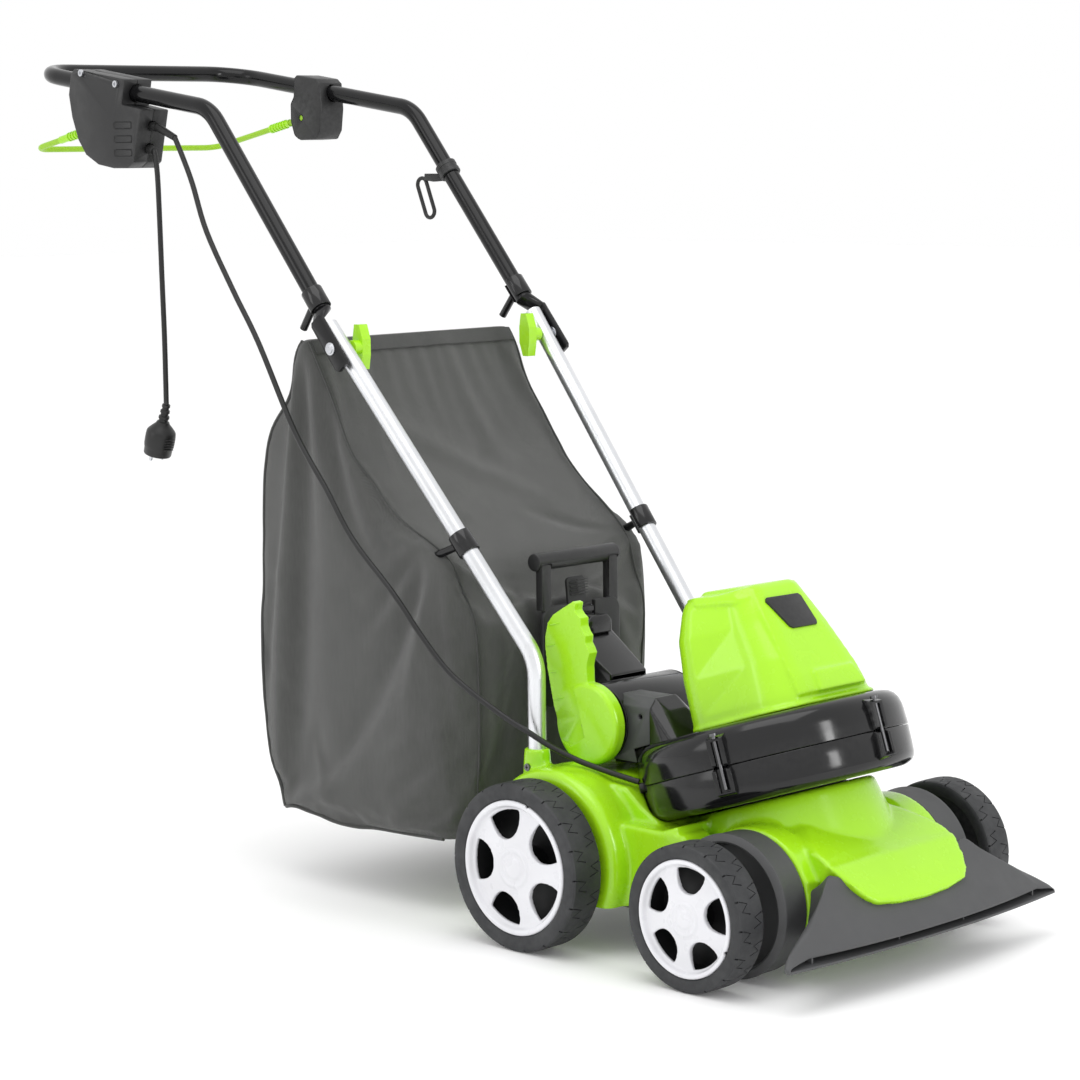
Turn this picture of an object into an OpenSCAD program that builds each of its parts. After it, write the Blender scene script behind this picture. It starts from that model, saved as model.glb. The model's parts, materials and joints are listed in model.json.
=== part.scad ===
// Walk-behind garden vacuum and blower with a collection bag.
// Frame: millimetres, +Z up, the intake nozzle faces -Y, the operator stands at +Y.
// The origin is on the ground, under the centre of the machine's bounding box.

/* [Wheels] */
// Radius of the rear wheels
rear_wheel_r = 100; // [98:1:102]
// Width of the rear wheels
rear_wheel_w = 48; // [44:1:50]
// Radius of the front wheels
front_wheel_r = 84; // [82:1:86]
// Width of the front wheels
front_wheel_w = 42; // [38:1:44]
// Half of the width over the wheels
track_half = 250; // [250:1:256]
// Y of the rear axle
rear_axle_y = -286; // [-288:1:-284]
// Y of the front axle
front_axle_y = -552; // [-554:1:-550]
// Number of spokes in a wheel cover
spokes = 5; // [4:1:6]
// Diameter of both axles
axle_d = 10; // [8:1:12]

/* [Deck] */
// Half of the width of the deck between the wheels
deck_half = 165; // [160:1:168]
// Half of the width of the hood between the side caps
hood_half = 132; // [128:1:134]
// Wall thickness of the moulded shells
wall = 3; // [2.5:0.5:4]
// Height of the lower rim of the deck
deck_floor = 56; // [52:1:60]

/* [Nozzle] */
// Half of the width of the nozzle lip
lip_half = 247; // [240:1:250]
// Height of the slot in the nozzle lip
slot_h = 12; // [10:1:14]

/* [Fan] */
// Tilt of the fan axis towards the operator, in degrees
fan_tilt = 18; // [16:1:20]
// Outer radius of the fan housing
fan_r = 160; // [157:1:162]
// Height of the fan housing
fan_h = 92; // [88:1:94]
// Y of the centre of the fan housing's floor
fan_y = -490; // [-494:1:-488]
// Z of the centre of the fan housing's floor
fan_z = 178; // [178:1:182]
// Number of impeller vanes
vanes = 8; // [5:1:10]

/* [Handle] */
// Outer radius of the handle tubes
tube_r = 11; // [10:0.5:12]
// Wall thickness of the handle tubes
tube_wall = 1.2; // [1:0.1:1.6]
// Half of the spacing of the lower tubes at the deck
foot_half = 149; // [147:1:151]
// Half of the spacing of the tubes at the handle pivot
pivot_half = 179; // [178:1:180]
// Y of the handle pivot
pivot_y = 70; // [69:1:71]
// Z of the handle pivot
pivot_z = 691; // [690:1:692]
// Y of the middle of the push bar
bar_y = 689; // [680:1:690]
// Z of the middle of the push bar
bar_z = 1045; // [1040:1:1050]
// Bend radius of the handle tubes
bend_r = 60; // [55:1:65]

/* [Bag] */
// Half of the width of the collection bag
bag_half = 186; // [180:1:188]
// Thickness of the bag's cloth wall
cloth = 5; // [4:1:6]

/* [Cords] */
// Diameter of the mains lead and of the motor lead
cord_d = 7; // [6:0.5:8]

/* [Hidden] */
$fn = 64;

// Colours of the moulded and metal parts.
lime = [0.6, 0.9, 0.12];
charcoal = [0.22, 0.22, 0.22];
gloss_black = [0.08, 0.08, 0.09];
silver = [0.8, 0.8, 0.8];
steel = [0.62, 0.62, 0.65];
white = [0.92, 0.92, 0.94];
tyre_grey = [0.2, 0.2, 0.2];
copper = [0.72, 0.42, 0.2];

// Running clearance on the radius of every shaft in its bore.
running = 0.05;
// Gap between curved faces of parts that move past each other.
gap = 0.5;

// Wheel stations: x side, axle y, wheel radius, wheel width.
rear_station = [rear_axle_y, rear_wheel_r, rear_wheel_w];
front_station = [front_axle_y, front_wheel_r, front_wheel_w];

// Handle geometry: the lower tube rises straight, bends, then leans to the pivot.
foot_y = -230;
foot_z = 180;
socket_top = 221;
knee_z = 328;
lean = [pivot_half - foot_half, pivot_y - foot_y, pivot_z - knee_z];
lean_len = norm(lean);
lean_dir = lean / lean_len;
lower_end = 36;
bar_gap = 3;
elbow_pt = [pivot_half, 318, 990];

// ---- helpers ----------------------------------------------------------------
function unit(v) = v / norm(v);
function turn_at(a, b, c) = acos(unit(b - a) * unit(c - b));
function setback(a, b, c, r) = r * tan(turn_at(a, b, c) / 2);

module ring(outer, inner) {
  difference() {
    circle(outer);
    if (inner > 0) circle(inner);
  }
}

// A straight tube or rod from a to b.
module straight(a, b, outer, inner = 0) {
  d = b - a;
  translate(a)
    rotate([0, acos(d.z / norm(d)), atan2(d.y, d.x)])
      linear_extrude(norm(d)) ring(outer, inner);
}

// A bend at b, tangent to the legs a-b and b-c.
module elbow(a, b, c, r, outer, inner = 0) {
  turn = turn_at(a, b, c);
  toward_a = unit(a - b);
  toward_c = unit(c - b);
  centre = b + unit(toward_a + toward_c) * r / cos(turn / 2);
  ex = unit(b + toward_a * setback(a, b, c, r) - centre);
  ey = -toward_a;
  ez = cross(ex, ey);
  multmatrix([[ex.x, ey.x, ez.x, centre.x],
              [ex.y, ey.y, ez.y, centre.y],
              [ex.z, ey.z, ez.z, centre.z],
              [0, 0, 0, 1]])
    rotate_extrude(angle = turn) translate([r, 0]) ring(outer, inner);
}

// A tube that follows points, with a bend of radius r at each inner point.
// The bends are 0.05 mm thicker, and the straight lengths run 1 mm into them.
module bent_tube(pts, r, outer, inner = 0) {
  last = len(pts) - 1;
  back = [for (i = [0 : last])
    (i == 0 || i == last) ? 0 : setback(pts[i - 1], pts[i], pts[i + 1], r)];
  for (i = [0 : last - 1]) {
    d = unit(pts[i + 1] - pts[i]);
    from = i == 0 ? 0 : back[i] - 1;
    to = i == last - 1 ? 0 : back[i + 1] - 1;
    straight(pts[i] + d * from, pts[i + 1] - d * to, outer, inner);
  }
  for (i = [1 : last - 1])
    elbow(pts[i - 1], pts[i], pts[i + 1], r, outer + 0.05, inner > 0 ? inner - 0.05 : 0);
}

// A cylinder along X, from x0 to x1, about the line through y and z.
module along_x(x0, x1, y, z, r) {
  translate([x0, y, z]) rotate([0, 90, 0]) cylinder(r = r, h = x1 - x0);
}

// A box given by its two corners.
module block(low, high) {
  translate(low) cube(high - low);
}

// A flat plate in XY with round corners.
module round_plate(w, l, r) {
  for (s = [-1, 1]) translate([0, s * (l / 2 - r) / 2]) square([w, l / 2 - r], center = true);
  square([w - 2 * r, l], center = true);
  for (x = [-1, 1], y = [-1, 1]) translate([x * (w / 2 - r), y * (l / 2 - r)]) circle(r);
}

// Places children in the frame of the fan: floor centre at the origin, axis up.
module in_fan() {
  translate([0, fan_y, fan_z]) rotate([-fan_tilt, 0, 0]) children();
}

// Repeats children on both sides of the machine.
module both_sides() {
  children();
  mirror([1, 0, 0]) children();
}

// A solid swept along pts: rings of flat facets, closed at both ends.
function sweep_frame(pts, i) =
  let (last = len(pts) - 1,
       t = unit(pts[min(i + 1, last)] - pts[max(i - 1, 0)]),
       side = unit(cross(t, [0.3, 0.1, 0.95])))
  [side, cross(side, t)];
module cord(pts, r, sides = 10) {
  n = len(pts);
  verts = [for (i = [0 : n - 1]) let (f = sweep_frame(pts, i))
    for (k = [0 : sides - 1])
      pts[i] + r * (cos(k * 360 / sides) * f[0] + sin(k * 360 / sides) * f[1])];
  walls = [for (i = [0 : n - 2], k = [0 : sides - 1]) let (m = (k + 1) % sides)
    for (tri = [[i * sides + k, i * sides + m, (i + 1) * sides + m],
                [i * sides + k, (i + 1) * sides + m, (i + 1) * sides + k]]) tri];
  first = [for (k = [0 : sides - 1]) sides - 1 - k];
  final = [for (k = [0 : sides - 1]) (n - 1) * sides + k];
  polyhedron(verts, concat(walls, [first], [final]), convexity = 8);
}

// Points between the route's own points, on a Catmull-Rom curve.
function curve_at(p0, p1, p2, p3, t) =
  0.5 * (2 * p1 + (p2 - p0) * t + (2 * p0 - 5 * p1 + 4 * p2 - p3) * t * t
    + (3 * p1 - p0 - 3 * p2 + p3) * t * t * t);
function smooth_route(pts, steps) =
  let (last = len(pts) - 1)
  concat([for (i = [0 : last - 1], s = [0 : steps - 1])
    curve_at(pts[max(i - 1, 0)], pts[i], pts[i + 1], pts[min(i + 2, last)], s / steps)],
    [pts[last]]);

// ---- deck, nozzle and intake --------------------------------------------------
// Height of the sloping deck top under the fan housing, at a given y.
function under_fan(y) = fan_z - 9 - (y - fan_y) * tan(fan_tilt);

// The deck's solid envelope, shrunk by g.
module deck_envelope(g) {
  core = deck_half - g;
  hood = hood_half - g;
  translate([-core, 0, 0]) rotate([90, 0, 90]) linear_extrude(2 * core)
    polygon([[-190 - g, 0], [-190 - g, 150], [-204 - g, 172 - g], [-225, 180 - g],
             [-290, 180 - g], [-322 + g, under_fan(-322) - g],
             [-466 + g, under_fan(-466) - g], [-466 + g, 0]]);
  translate([-hood, 0, 0]) rotate([90, 0, 90]) linear_extrude(2 * hood)
    polygon([[-460, 0], [-460, under_fan(-460) - g], [-500, 168 - g], [-552, 168 - g],
             [-600, 159 - g], [-636 + g, 138 - g], [-630 + g, 0]]);
  both_sides()
    translate([0, rear_axle_y, rear_wheel_r]) rotate([0, 90, 0])
      rotate_extrude()
        polygon([[0, 140 + g], [108 - g, 140 + g], [108 - g, 186], [104 - g, 193 - g],
                 [98 - g, 197 - g], [0, 197 - g]]);
  in_fan() translate([0, 0, -72]) cylinder(r1 = 120 - g, r2 = 106 - g, h = 71);
}

module tube_sockets() {
  both_sides() {
    translate([foot_half, foot_y, 140]) cylinder(r = tube_r + 4.5, h = socket_top - 140);
    block([foot_half - 3, foot_y - 44, 140], [foot_half + 3, foot_y + 20, 196]);
  }
}

// A lip that covers the seam between the hood and the nozzle.
module hood_tongue() {
  translate([0, -637, 134.5]) rotate([38, 0, 0]) linear_extrude(wall)
    polygon([[-hood_half, 8], [hood_half, 8], [118, -20], [86, -66], [-86, -66], [-118, -20]]);
}

module deck_shell() {
  color(lime) difference() {
    union() {
      difference() {
        union() {
          deck_envelope(0);
          tube_sockets();
        }
        difference() {
          deck_envelope(wall);
          both_sides() translate([foot_half, foot_y, 0]) cylinder(r = tube_r + 4.5, h = 250);
        }
        translate([0, 0, deck_floor - 200]) cube([600, 1600, 400], center = true);
      }
      hood_tongue();
    }
    both_sides() {
      translate([foot_half, foot_y, foot_z]) cylinder(r = tube_r + running, h = 60);
      along_x(foot_half, foot_half + 30, foot_y, 200, 2.6);
    }
    along_x(-220, 220, rear_axle_y, rear_wheel_r, 8);
    along_x(-140, 140, front_axle_y, front_wheel_r, 8);
    in_fan() translate([0, 0, -40]) cylinder(r = 75.3, h = 60);
    block([-121, -650, 60.7], [121, -620, 113.3]);
    block([-46, -304, 150], [6, -258, 200]);
  }
}

module belly_pan() {
  color(charcoal) difference() {
    translate([0, 0, deck_floor - wall]) linear_extrude(wall) union() {
      translate([-160, -462]) square([320, 268]);
      translate([-127, -600]) square([254, 140]);
    }
    for (x = [-140, 0, 140], y = [-440, -215])
      translate([x, y, deck_floor - 10]) cylinder(r = 2.5, h = 20);
    block([-44, -302, 40], [4, -260, 70]);
  }
}

// The nozzle's solid envelope, shrunk by g.
module nozzle_envelope(g) {
  hull() {
    block([-146 + g, -614, 46 + g], [146 - g, -610, 118 - g]);
    block([-137 + g, -654 + g, 56 + g], [137 - g, -650, 135 - 2 * g]);
    translate([0, 0, 42 + g]) linear_extrude(slot_h + 6 - 2 * g)
      polygon([[-lip_half + g, -690], [lip_half - g, -690], [lip_half - g, -700],
               [140, -714], [0, -720], [-140, -714], [-lip_half + g, -700]]);
  }
}

module intake_nozzle() {
  color(charcoal) difference() {
    nozzle_envelope(0);
    difference() {
      nozzle_envelope(wall);
      block([-300, -600, 0], [300, -500, 200]);
    }
    block([-hood_half - 0.3, -700, 56], [hood_half + 0.3, -560, 120]);
    deck_envelope(-0.3);
    hood_tongue();
    both_sides() along_x(hood_half - 1, hood_half + 70, front_axle_y, front_wheel_r, 82.4);
    translate([0, -2, 42 + wall]) linear_extrude(slot_h)
      polygon([[-lip_half + wall, -690], [lip_half - wall, -690], [lip_half - wall, -710],
               [140, -724], [0, -730], [-140, -724], [-lip_half + wall, -710]]);
  }
}

// The duct from the nozzle to the fan's eye, shrunk by g.
module intake_envelope(g, reach) {
  hull() {
    block([-120 + g, -630 - reach, 62 + g], [120 - g, -620, 112 - g]);
    in_fan() translate([0, 0, -12]) cylinder(r = 74 - g, h = 4, $fn = 48);
  }
}

module intake_duct() {
  color(charcoal) difference() {
    union() {
      intake_envelope(0, 0);
      in_fan() translate([0, 0, -10]) cylinder(r = 75, h = 9.7);
    }
    intake_envelope(2.5, 2);
    in_fan() translate([0, 0, -9]) cylinder(r = 72.5, h = 30);
  }
}

// A round cover that closes each end of the hood, round the front axle.
module side_caps() {
  color(charcoal) both_sides()
    translate([0, front_axle_y, front_wheel_r]) rotate([0, 90, 0])
      rotate_extrude()
        polygon([[8, 200], [20, 200], [20, 190], [58, 190], [62, 197], [68, 197],
                 [74, 184], [78, 180], [82, 172], [82, 132.3], [79, 132.3], [79, 171],
                 [76, 177], [71, 181], [66, 194], [64, 194], [60, 187], [17, 187],
                 [17, 197], [11, 197], [11, 184], [8, 184]]);
}

// ---- axles and wheels ---------------------------------------------------------
module axle(station) {
  along_x(-track_half + 8, track_half - 8, station[0], station[1], axle_d / 2);
}
module front_axle() { color(steel) axle(front_station); }
module rear_axle() { color(steel) axle(rear_station); }

// Flanged bushes that carry the axles in the deck and in the side caps.
module bush(x0, x1, station) {
  difference() {
    union() {
      along_x(x0, x1, station[0], station[1], 8 - running);
      along_x(x1, x1 + 2, station[0], station[1], 11);
    }
    along_x(x0 - 5, x1 + 5, station[0], station[1], axle_d / 2);
  }
}
module axle_bushes() {
  color(charcoal) both_sides() {
    bush(184, 200.2, front_station);
    bush(186, 197.2, rear_station);
  }
}

// Push-on nuts that keep the wheels on the axles.
module retainer(station) {
  difference() {
    along_x(track_half - 12, track_half - 9, station[0], station[1], 9);
    along_x(track_half - 20, track_half, station[0], station[1], axle_d / 2);
  }
}
module axle_retainers() {
  color(steel) both_sides() {
    retainer(front_station);
    retainer(rear_station);
  }
}

// Places children, built along +Z from the wheel's inner face, on one corner.
module on_wheel(side, station) {
  translate([side * (track_half - station[2]), station[0], station[1]])
    rotate([0, side * 90, 0]) children();
}

module tyre(side, station) {
  r = station[1];
  w = station[2];
  color(tyre_grey) on_wheel(side, station) rotate_extrude($fn = 96)
    polygon([[0.8 * r, 3], [r - 6, 0], [r - 1.5, 3], [r, 8], [r, w - 8], [r - 1.5, w - 4],
             [r - 6, w - 2], [0.84 * r, w - 1], [0.84 * r, w - 7], [0.8 * r, w - 12]]);
}

// The windows between the spokes of a wheel cover.
module spoke_windows(r) {
  difference() {
    ring(0.68 * r, 0.32 * r);
    for (k = [0 : spokes - 1]) rotate(k * 360 / spokes) translate([0, -0.11 * r])
      square([r, 0.22 * r]);
  }
}

module rim(side, station) {
  r = station[1];
  w = station[2];
  color(white) on_wheel(side, station) difference() {
    rotate_extrude($fn = 96)
      polygon([[0, 1], [15, 1], [15, w - 14], [0.3 * r, w - 9], [0.7 * r, w - 12],
               [0.8 * r - 3, w - 14], [0.8 * r - 3, 5], [0.8 * r, 5], [0.8 * r, w - 12],
               [0.84 * r, w - 7], [0.84 * r, w - 3], [0.8 * r, w - 1], [0.74 * r, w - 4],
               [0.34 * r, w - 3], [0.22 * r, w - 1], [0.16 * r, w], [0, w]]);
    translate([0, 0, w - 20]) linear_extrude(30) spoke_windows(r);
    cylinder(r = axle_d / 2 + running, h = w - 12);
    translate([0, 0, w - 12.3]) cylinder(r = 10, h = 7.3);
  }
}

module tyre_front_right() { tyre(-1, front_station); }
module tyre_front_left() { tyre(1, front_station); }
module tyre_rear_right() { tyre(-1, rear_station); }
module tyre_rear_left() { tyre(1, rear_station); }
module rim_front_right() { rim(-1, front_station); }
module rim_front_left() { rim(1, front_station); }
module rim_rear_right() { rim(-1, rear_station); }
module rim_rear_left() { rim(1, rear_station); }

// ---- fan and motor, built in the fan's own frame --------------------------------
half_h = fan_h / 2;
lug_angles = [for (k = [0 : 2]) 199 + k * 72];

module lug_row(z0, z1) {
  for (a = lug_angles) rotate(a)
    translate([fan_r - 2, -11, z0]) cube([11, 22, z1 - z0]);
}

// Outline of the outlet hump, in the machine's frame, shrunk by g.
module outlet_hump(g) {
  hull() {
    block([-98 + g, -372, 206], [-42 - g, -366, 290 - g]);
    block([-94 + g, -384, 206], [-46 - g, -380, 280 - g]);
    block([-88 + g, -393 + g, 210], [-52 - g, -390, 256 - g]);
  }
}

module fan_housing_lower() {
  color(gloss_black) in_fan() difference() {
    union() {
      rotate_extrude($fn = 96)
        polygon([[70, 0], [fan_r - 14, 0], [fan_r - 4, 5], [fan_r, 14], [fan_r, half_h],
                 [fan_r - 3, half_h], [fan_r - 3, 15], [fan_r - 7, 8], [fan_r - 15, 3],
                 [74, 3], [74, 8], [70, 8]]);
      lug_row(16, half_h - 0.2);
    }
    for (a = lug_angles) rotate(a) translate([fan_r + 4.5, 0, -5]) cylinder(r = 2.2, h = fan_h);
  }
}

module fan_housing_upper() {
  color(gloss_black) difference() {
    union() {
      in_fan() rotate_extrude($fn = 96)
        polygon([[24, fan_h - 3], [fan_r - 20, fan_h - 3], [fan_r - 9, fan_h - 9],
                 [fan_r - 3, fan_h - 22], [fan_r - 3, half_h], [fan_r, half_h],
                 [fan_r, fan_h - 21], [fan_r - 6, fan_h - 7], [fan_r - 19, fan_h], [24, fan_h]]);
      in_fan() lug_row(half_h + 0.2, fan_h - 17);
      difference() {
        outlet_hump(0);
        in_fan() cylinder(r = 400, h = fan_h - 1.5);
      }
    }
    difference() {
      outlet_hump(3);
      in_fan() cylinder(r = 400, h = fan_h - 8);
    }
    block([-93, -378, 217], [-47, -350, 283]);
    in_fan() for (a = lug_angles) rotate(a) translate([fan_r + 4.5, 0, -5])
      cylinder(r = 2.2, h = fan_h + 20);
    in_fan() for (k = [0 : 3]) rotate(45 + k * 90) translate([70, 0, fan_h - 10])
      cylinder(r = 2.2, h = 20);
  }
}

// Screws of the fan housing, of the tube sockets and of the belly pan.
module screw(len, r_head = 4.5) {
  cylinder(r = 2.1, h = len);
  difference() {
    translate([0, 0, len]) cylinder(r = r_head, h = 3);
    translate([0, 0, len + 1.2]) linear_extrude(3)
      for (a = [0, 90]) rotate(a) square([5, 1.2], center = true);
  }
}
module body_screws() {
  color(steel) {
    in_fan() for (a = lug_angles) rotate(a)
      translate([fan_r + 4.5, 0, 20]) screw(fan_h - 30);
    both_sides() translate([foot_half + tube_r + 0.2, foot_y, 200]) rotate([0, 90, 0]) screw(4.4);
  }
}

module impeller() {
  color(charcoal) in_fan() difference() {
    union() {
      translate([0, 0, 68]) cylinder(r = 148, h = 3);
      translate([0, 0, 30]) cylinder(r = 18, h = 41);
      for (k = [0 : vanes - 1]) rotate(k * 360 / vanes)
        translate([38, -12, 16]) rotate([0, 0, 12]) cube([104, 3, 53]);
    }
    translate([0, 0, 20]) cylinder(r = 6, h = 60);
  }
}

module motor_armature() {
  color(steel) in_fan() {
    translate([0, 0, 26]) cylinder(r = 6, h = 180);
    translate([0, 0, 113]) cylinder(r = 26, h = 54);
    translate([0, 0, 172]) cylinder(r = 14, h = 12);
    translate([0, 0, 196]) cylinder(r = 30, h = 2);
    for (k = [0 : 7]) rotate(k * 45) translate([5, -1, 197.5]) cube([24, 2, 8.5]);
  }
}

module motor_stator() {
  color(copper) in_fan() {
    difference() {
      translate([0, 0, 108]) cylinder(r = 46, h = 62);
      translate([0, 0, 100]) cylinder(r = 38, h = 90);
    }
    for (a = [0, 180]) rotate(a) translate([0, 0, 108]) rotate_extrude(angle = 110)
      translate([27.5, 0]) square([11, 62]);
  }
}

module motor_bearings() {
  color(steel) in_fan() for (z = [94, 186]) difference() {
    translate([0, 0, z]) cylinder(r = 14, h = 8);
    translate([0, 0, z - 1]) cylinder(r = 6 + running, h = 10);
  }
}

// End frames of the motor: a foot plate, a top bridge, pillars and brush boxes.
module motor_bracket() {
  color(silver) in_fan() difference() {
    union() {
      translate([0, 0, fan_h]) linear_extrude(3) intersection() {
        circle(78);
        translate([0, -24]) round_plate(186, 164, 42);
      }
      translate([0, 0, fan_h]) cylinder(r = 18, h = 10);
      for (a = [55, 125, 235, 305]) rotate(a)
        translate([50, 0, fan_h]) cylinder(r = 3.5, h = 96);
      translate([0, 0, 186]) linear_extrude(4) round_plate(70, 92, 14);
      translate([0, 0, 180]) cylinder(r = 17, h = 14);
      for (s = [-1, 1]) translate([s * 22 - 6, -5, 174]) cube([12, 10, 12.5]);
    }
    translate([0, 0, fan_h - 1]) cylinder(r = 9, h = 130);
    translate([0, 0, fan_h + 2]) cylinder(r = 14, h = 20);
    translate([0, 0, 186]) cylinder(r = 14, h = 20);
    translate([0, 0, 170]) cylinder(r = 15, h = 15);
    for (k = [0 : 3]) rotate(45 + k * 90) translate([70, 0, fan_h - 5]) cylinder(r = 2.2, h = 20);
  }
}

// The cover's solid envelope in the fan's frame, shrunk by g.
module cover_envelope(g) {
  hull() {
    translate([0, -24, fan_h + 0.5 - g]) linear_extrude(2) round_plate(194 - 2 * g, 172 - 2 * g, 46);
    translate([0, -20, fan_h + 60]) linear_extrude(2) round_plate(190 - 2 * g, 166 - 2 * g, 46);
    translate([0, 6, 234 - g]) linear_extrude(2) round_plate(170 - 2 * g, 104 - 2 * g, 34);
    translate([0, 10, 247 - g]) linear_extrude(1) round_plate(140 - 2 * g, 82 - 2 * g, 28);
  }
}

module motor_cover() {
  color(lime) in_fan() difference() {
    cover_envelope(0);
    cover_envelope(wall);
    for (k = [0 : 5]) translate([-50 + k * 18, 40, 130]) cube([8, 40, 60]);
    for (k = [0 : 3]) rotate(45 + k * 90) translate([70, 0, fan_h - 5]) cylinder(r = 2.2, h = 6);
  }
}

// Dark panel on the sloping face of the cover.
module badge_panel() {
  color(charcoal) difference() {
    in_fan() intersection() {
      cover_envelope(-1.5);
      translate([0, -60, 213]) rotate([66, 0, 0]) linear_extrude(80, center = true)
        polygon([[-30, -20], [24, -20], [30, -14], [34, 16], [28, 20], [-34, 20], [-38, 14]]);
    }
    in_fan() cover_envelope(0);
    block([-100, -440, 300], [100, -300, 500]);
  }
}

// ---- diverter and rear duct -----------------------------------------------------
div_y = -284;
div_z = 252;
div_r = 46;
div_near = -98;
div_far = 34;
valve_r = div_r - wall - gap;

// The collar that joins the outlet hump to the diverter.
module outlet_collar() {
  color(charcoal) difference() {
    translate([-70, -366, 250]) rotate([90, 0, 180])
      linear_extrude(60) polygon([[-27, -40], [27, -40], [27, 28], [16, 39], [-16, 39], [-27, 28]]);
    translate([-70, -368, 250]) rotate([90, 0, 180])
      linear_extrude(80) square([42, 58], center = true);
    along_x(-120, 60, div_y, div_z, div_r);
    in_fan() translate([0, 0, -10]) cylinder(r = fan_r + 0.4, h = fan_h + 10.3);
    along_x(-110, -80, -350, 266, 3);
  }
}

module diverter_housing() {
  color(gloss_black) difference() {
    union() {
      along_x(div_near, div_far, div_y, div_z, div_r);
      block([-44, -302, 174], [4, -260, 215]);
    }
    along_x(div_near + wall, div_far + 1, div_y, div_z, div_r - wall);
    along_x(div_near - 1, 0, div_y, div_z, 8 + running);
    block([-91, -340, 222], [-49, -300, 280]);
    block([-46, -280, 246], [6, -230, 292]);
    block([-41, -299, 150], [1, -263, 240]);
  }
}

module diverter_end_cap() {
  color(gloss_black) difference() {
    union() {
      along_x(div_far, div_far + 3, div_y, div_z, div_r);
      along_x(div_far + 3, div_far + 8, div_y, div_z, 12);
    }
    along_x(div_far - 1, div_far + 9, div_y, div_z, 6 + running);
  }
}

// Rotary valve: a curved wall between two end discs, on a shaft.
module diverter_valve() {
  near = div_near + wall + gap;
  far = div_far - gap;
  color(charcoal) union() {
    translate([near, div_y, div_z]) rotate([0, 90, 0]) rotate([0, 0, -30])
      rotate_extrude(angle = 120) translate([valve_r - 3.2, 1]) square([3, far - near - 2]);
    along_x(near, near + 3, div_y, div_z, valve_r);
    along_x(far - 3, far, div_y, div_z, valve_r);
    along_x(-120, near + 1, div_y, div_z, 8);
    along_x(far - 1, div_far + 7, div_y, div_z, 6);
  }
}

module mode_lever() {
  lever_in = div_near - 3;
  color(lime) difference() {
    union() {
      along_x(lever_in - 21, lever_in, div_y, div_z, 50);
      translate([lever_in - 21, 0, 0]) rotate([90, 0, 90]) linear_extrude(21)
        polygon([[-240, 262], [-226, 290], [-222, 345], [-225, 371], [-250, 392], [-257, 394],
                 [-254, 386], [-262, 377], [-257, 366], [-265, 357], [-260, 346], [-267, 337],
                 [-262, 328], [-262, 300], [-290, 290]]);
    }
    along_x(-120.1, -90, div_y, div_z, 8);
    for (z = [310, 335, 360]) translate([lever_in - 22, -223, z]) rotate([10, 0, 0])
      cube([23, 12, 2]);
  }
}

// The rear duct's solid envelope, shrunk by g.
module duct_envelope(g, reach) {
  hull() {
    block([-51 + g, -262, 240 + g], [11 - g, -258, 300 - g]);
    block([-36 + g, -170, 284 + g], [36 - g, -166 + reach, 348 - g]);
  }
}

module rear_duct() {
  color(gloss_black) difference() {
    union() {
      duct_envelope(0, 0);
      translate([0, -182, 346]) rotate([90, 0, 0]) linear_extrude(26, center = true)
        polygon([[-22, -8], [22, -8], [22, 8], [14, 15], [-14, 15], [-22, 8]]);
    }
    duct_envelope(wall, 2);
    along_x(-120, 60, div_y, div_z, div_r);
  }
}

// ---- bag and its fastenings -------------------------------------------------------
bag_outline = [[-126, 92], [-138, 200], [-138, 372], [-95, 439], [126, 688], [138, 704], [152, 704], [172, 652], [236, 590],
               [252, 545], [260, 430], [266, 226], [246, 160], [200, 94], [100, 78]];
port = [[-34, 262], [34, 344]];

// The bag's shape, shrunk by g: its side outline, with both front corners cut off.
module bag_solid(g) {
  intersection() {
    translate([-bag_half + g, 0, 0]) rotate([90, 0, 90]) linear_extrude(2 * (bag_half - g))
      offset(delta = -g) polygon(bag_outline);
    linear_extrude(800) offset(delta = -g)
      polygon([[-bag_half - 20, -75], [-bag_half - 20, 320], [bag_half + 20, 320], [bag_half + 20, -75],
               [148, -142], [-148, -142]]);
  }
}

module bag() {
  color([0.29, 0.3, 0.29]) difference() {
    bag_solid(0);
    bag_solid(cloth);
    block([port[0].x - 4, -150, port[0].y - 4], [port[1].x + 4, -110, port[1].y + 4]);
  }
}

// The moulded port of the bag: face plate, spigot, two posts and a carrying bar.
module bag_connector() {
  color(charcoal) difference() {
    union() {
      translate([0, -158, 312]) rotate([90, 0, 0]) linear_extrude(7) round_plate(138, 126, 16);
      block([port[0].x - 3.5, -160, port[0].y - 3.5], [port[1].x + 3.5, -124, port[1].y + 3.5]);
      translate([0, -128, 303]) rotate([90, 0, 0]) linear_extrude(3) round_plate(110, 120, 16);
      for (s = [-1, 1]) block([s * 60 - 8, -163, 370], [s * 60 + 8, -151, 428]);
      along_x(-72, 72, -152, 430, tube_r);
    }
    block([port[0].x, -200, port[0].y], [port[1].x, -60, port[1].y]);
    duct_envelope(-0.3, 2);
    block([-24, -170, 352], [24, -150, 380]);
  }
}

module latch_pin() {
  color(steel) along_x(-30, 30, -156, 366, 2);
}

// Sprung tab that hooks the port on to the rear duct.
module connector_latch() {
  color(charcoal) difference() {
    union() {
      along_x(-22, 22, -156, 366, 5);
      translate([0, -156, 366]) rotate([84, 0, 0]) translate([0, 0, -2]) linear_extrude(4)
        tab_plate(32, 40);
      translate([0, -156, 366]) rotate([84, 0, 0])
        for (k = [0 : 3]) translate([-12, 17 + k * 5, 1]) cube([24, 2.4, 3]);
      block([-20, -166, 362], [20, -158, 368]);
    }
    along_x(-40, 40, -156, 366, 2 + running);
  }
}
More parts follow.
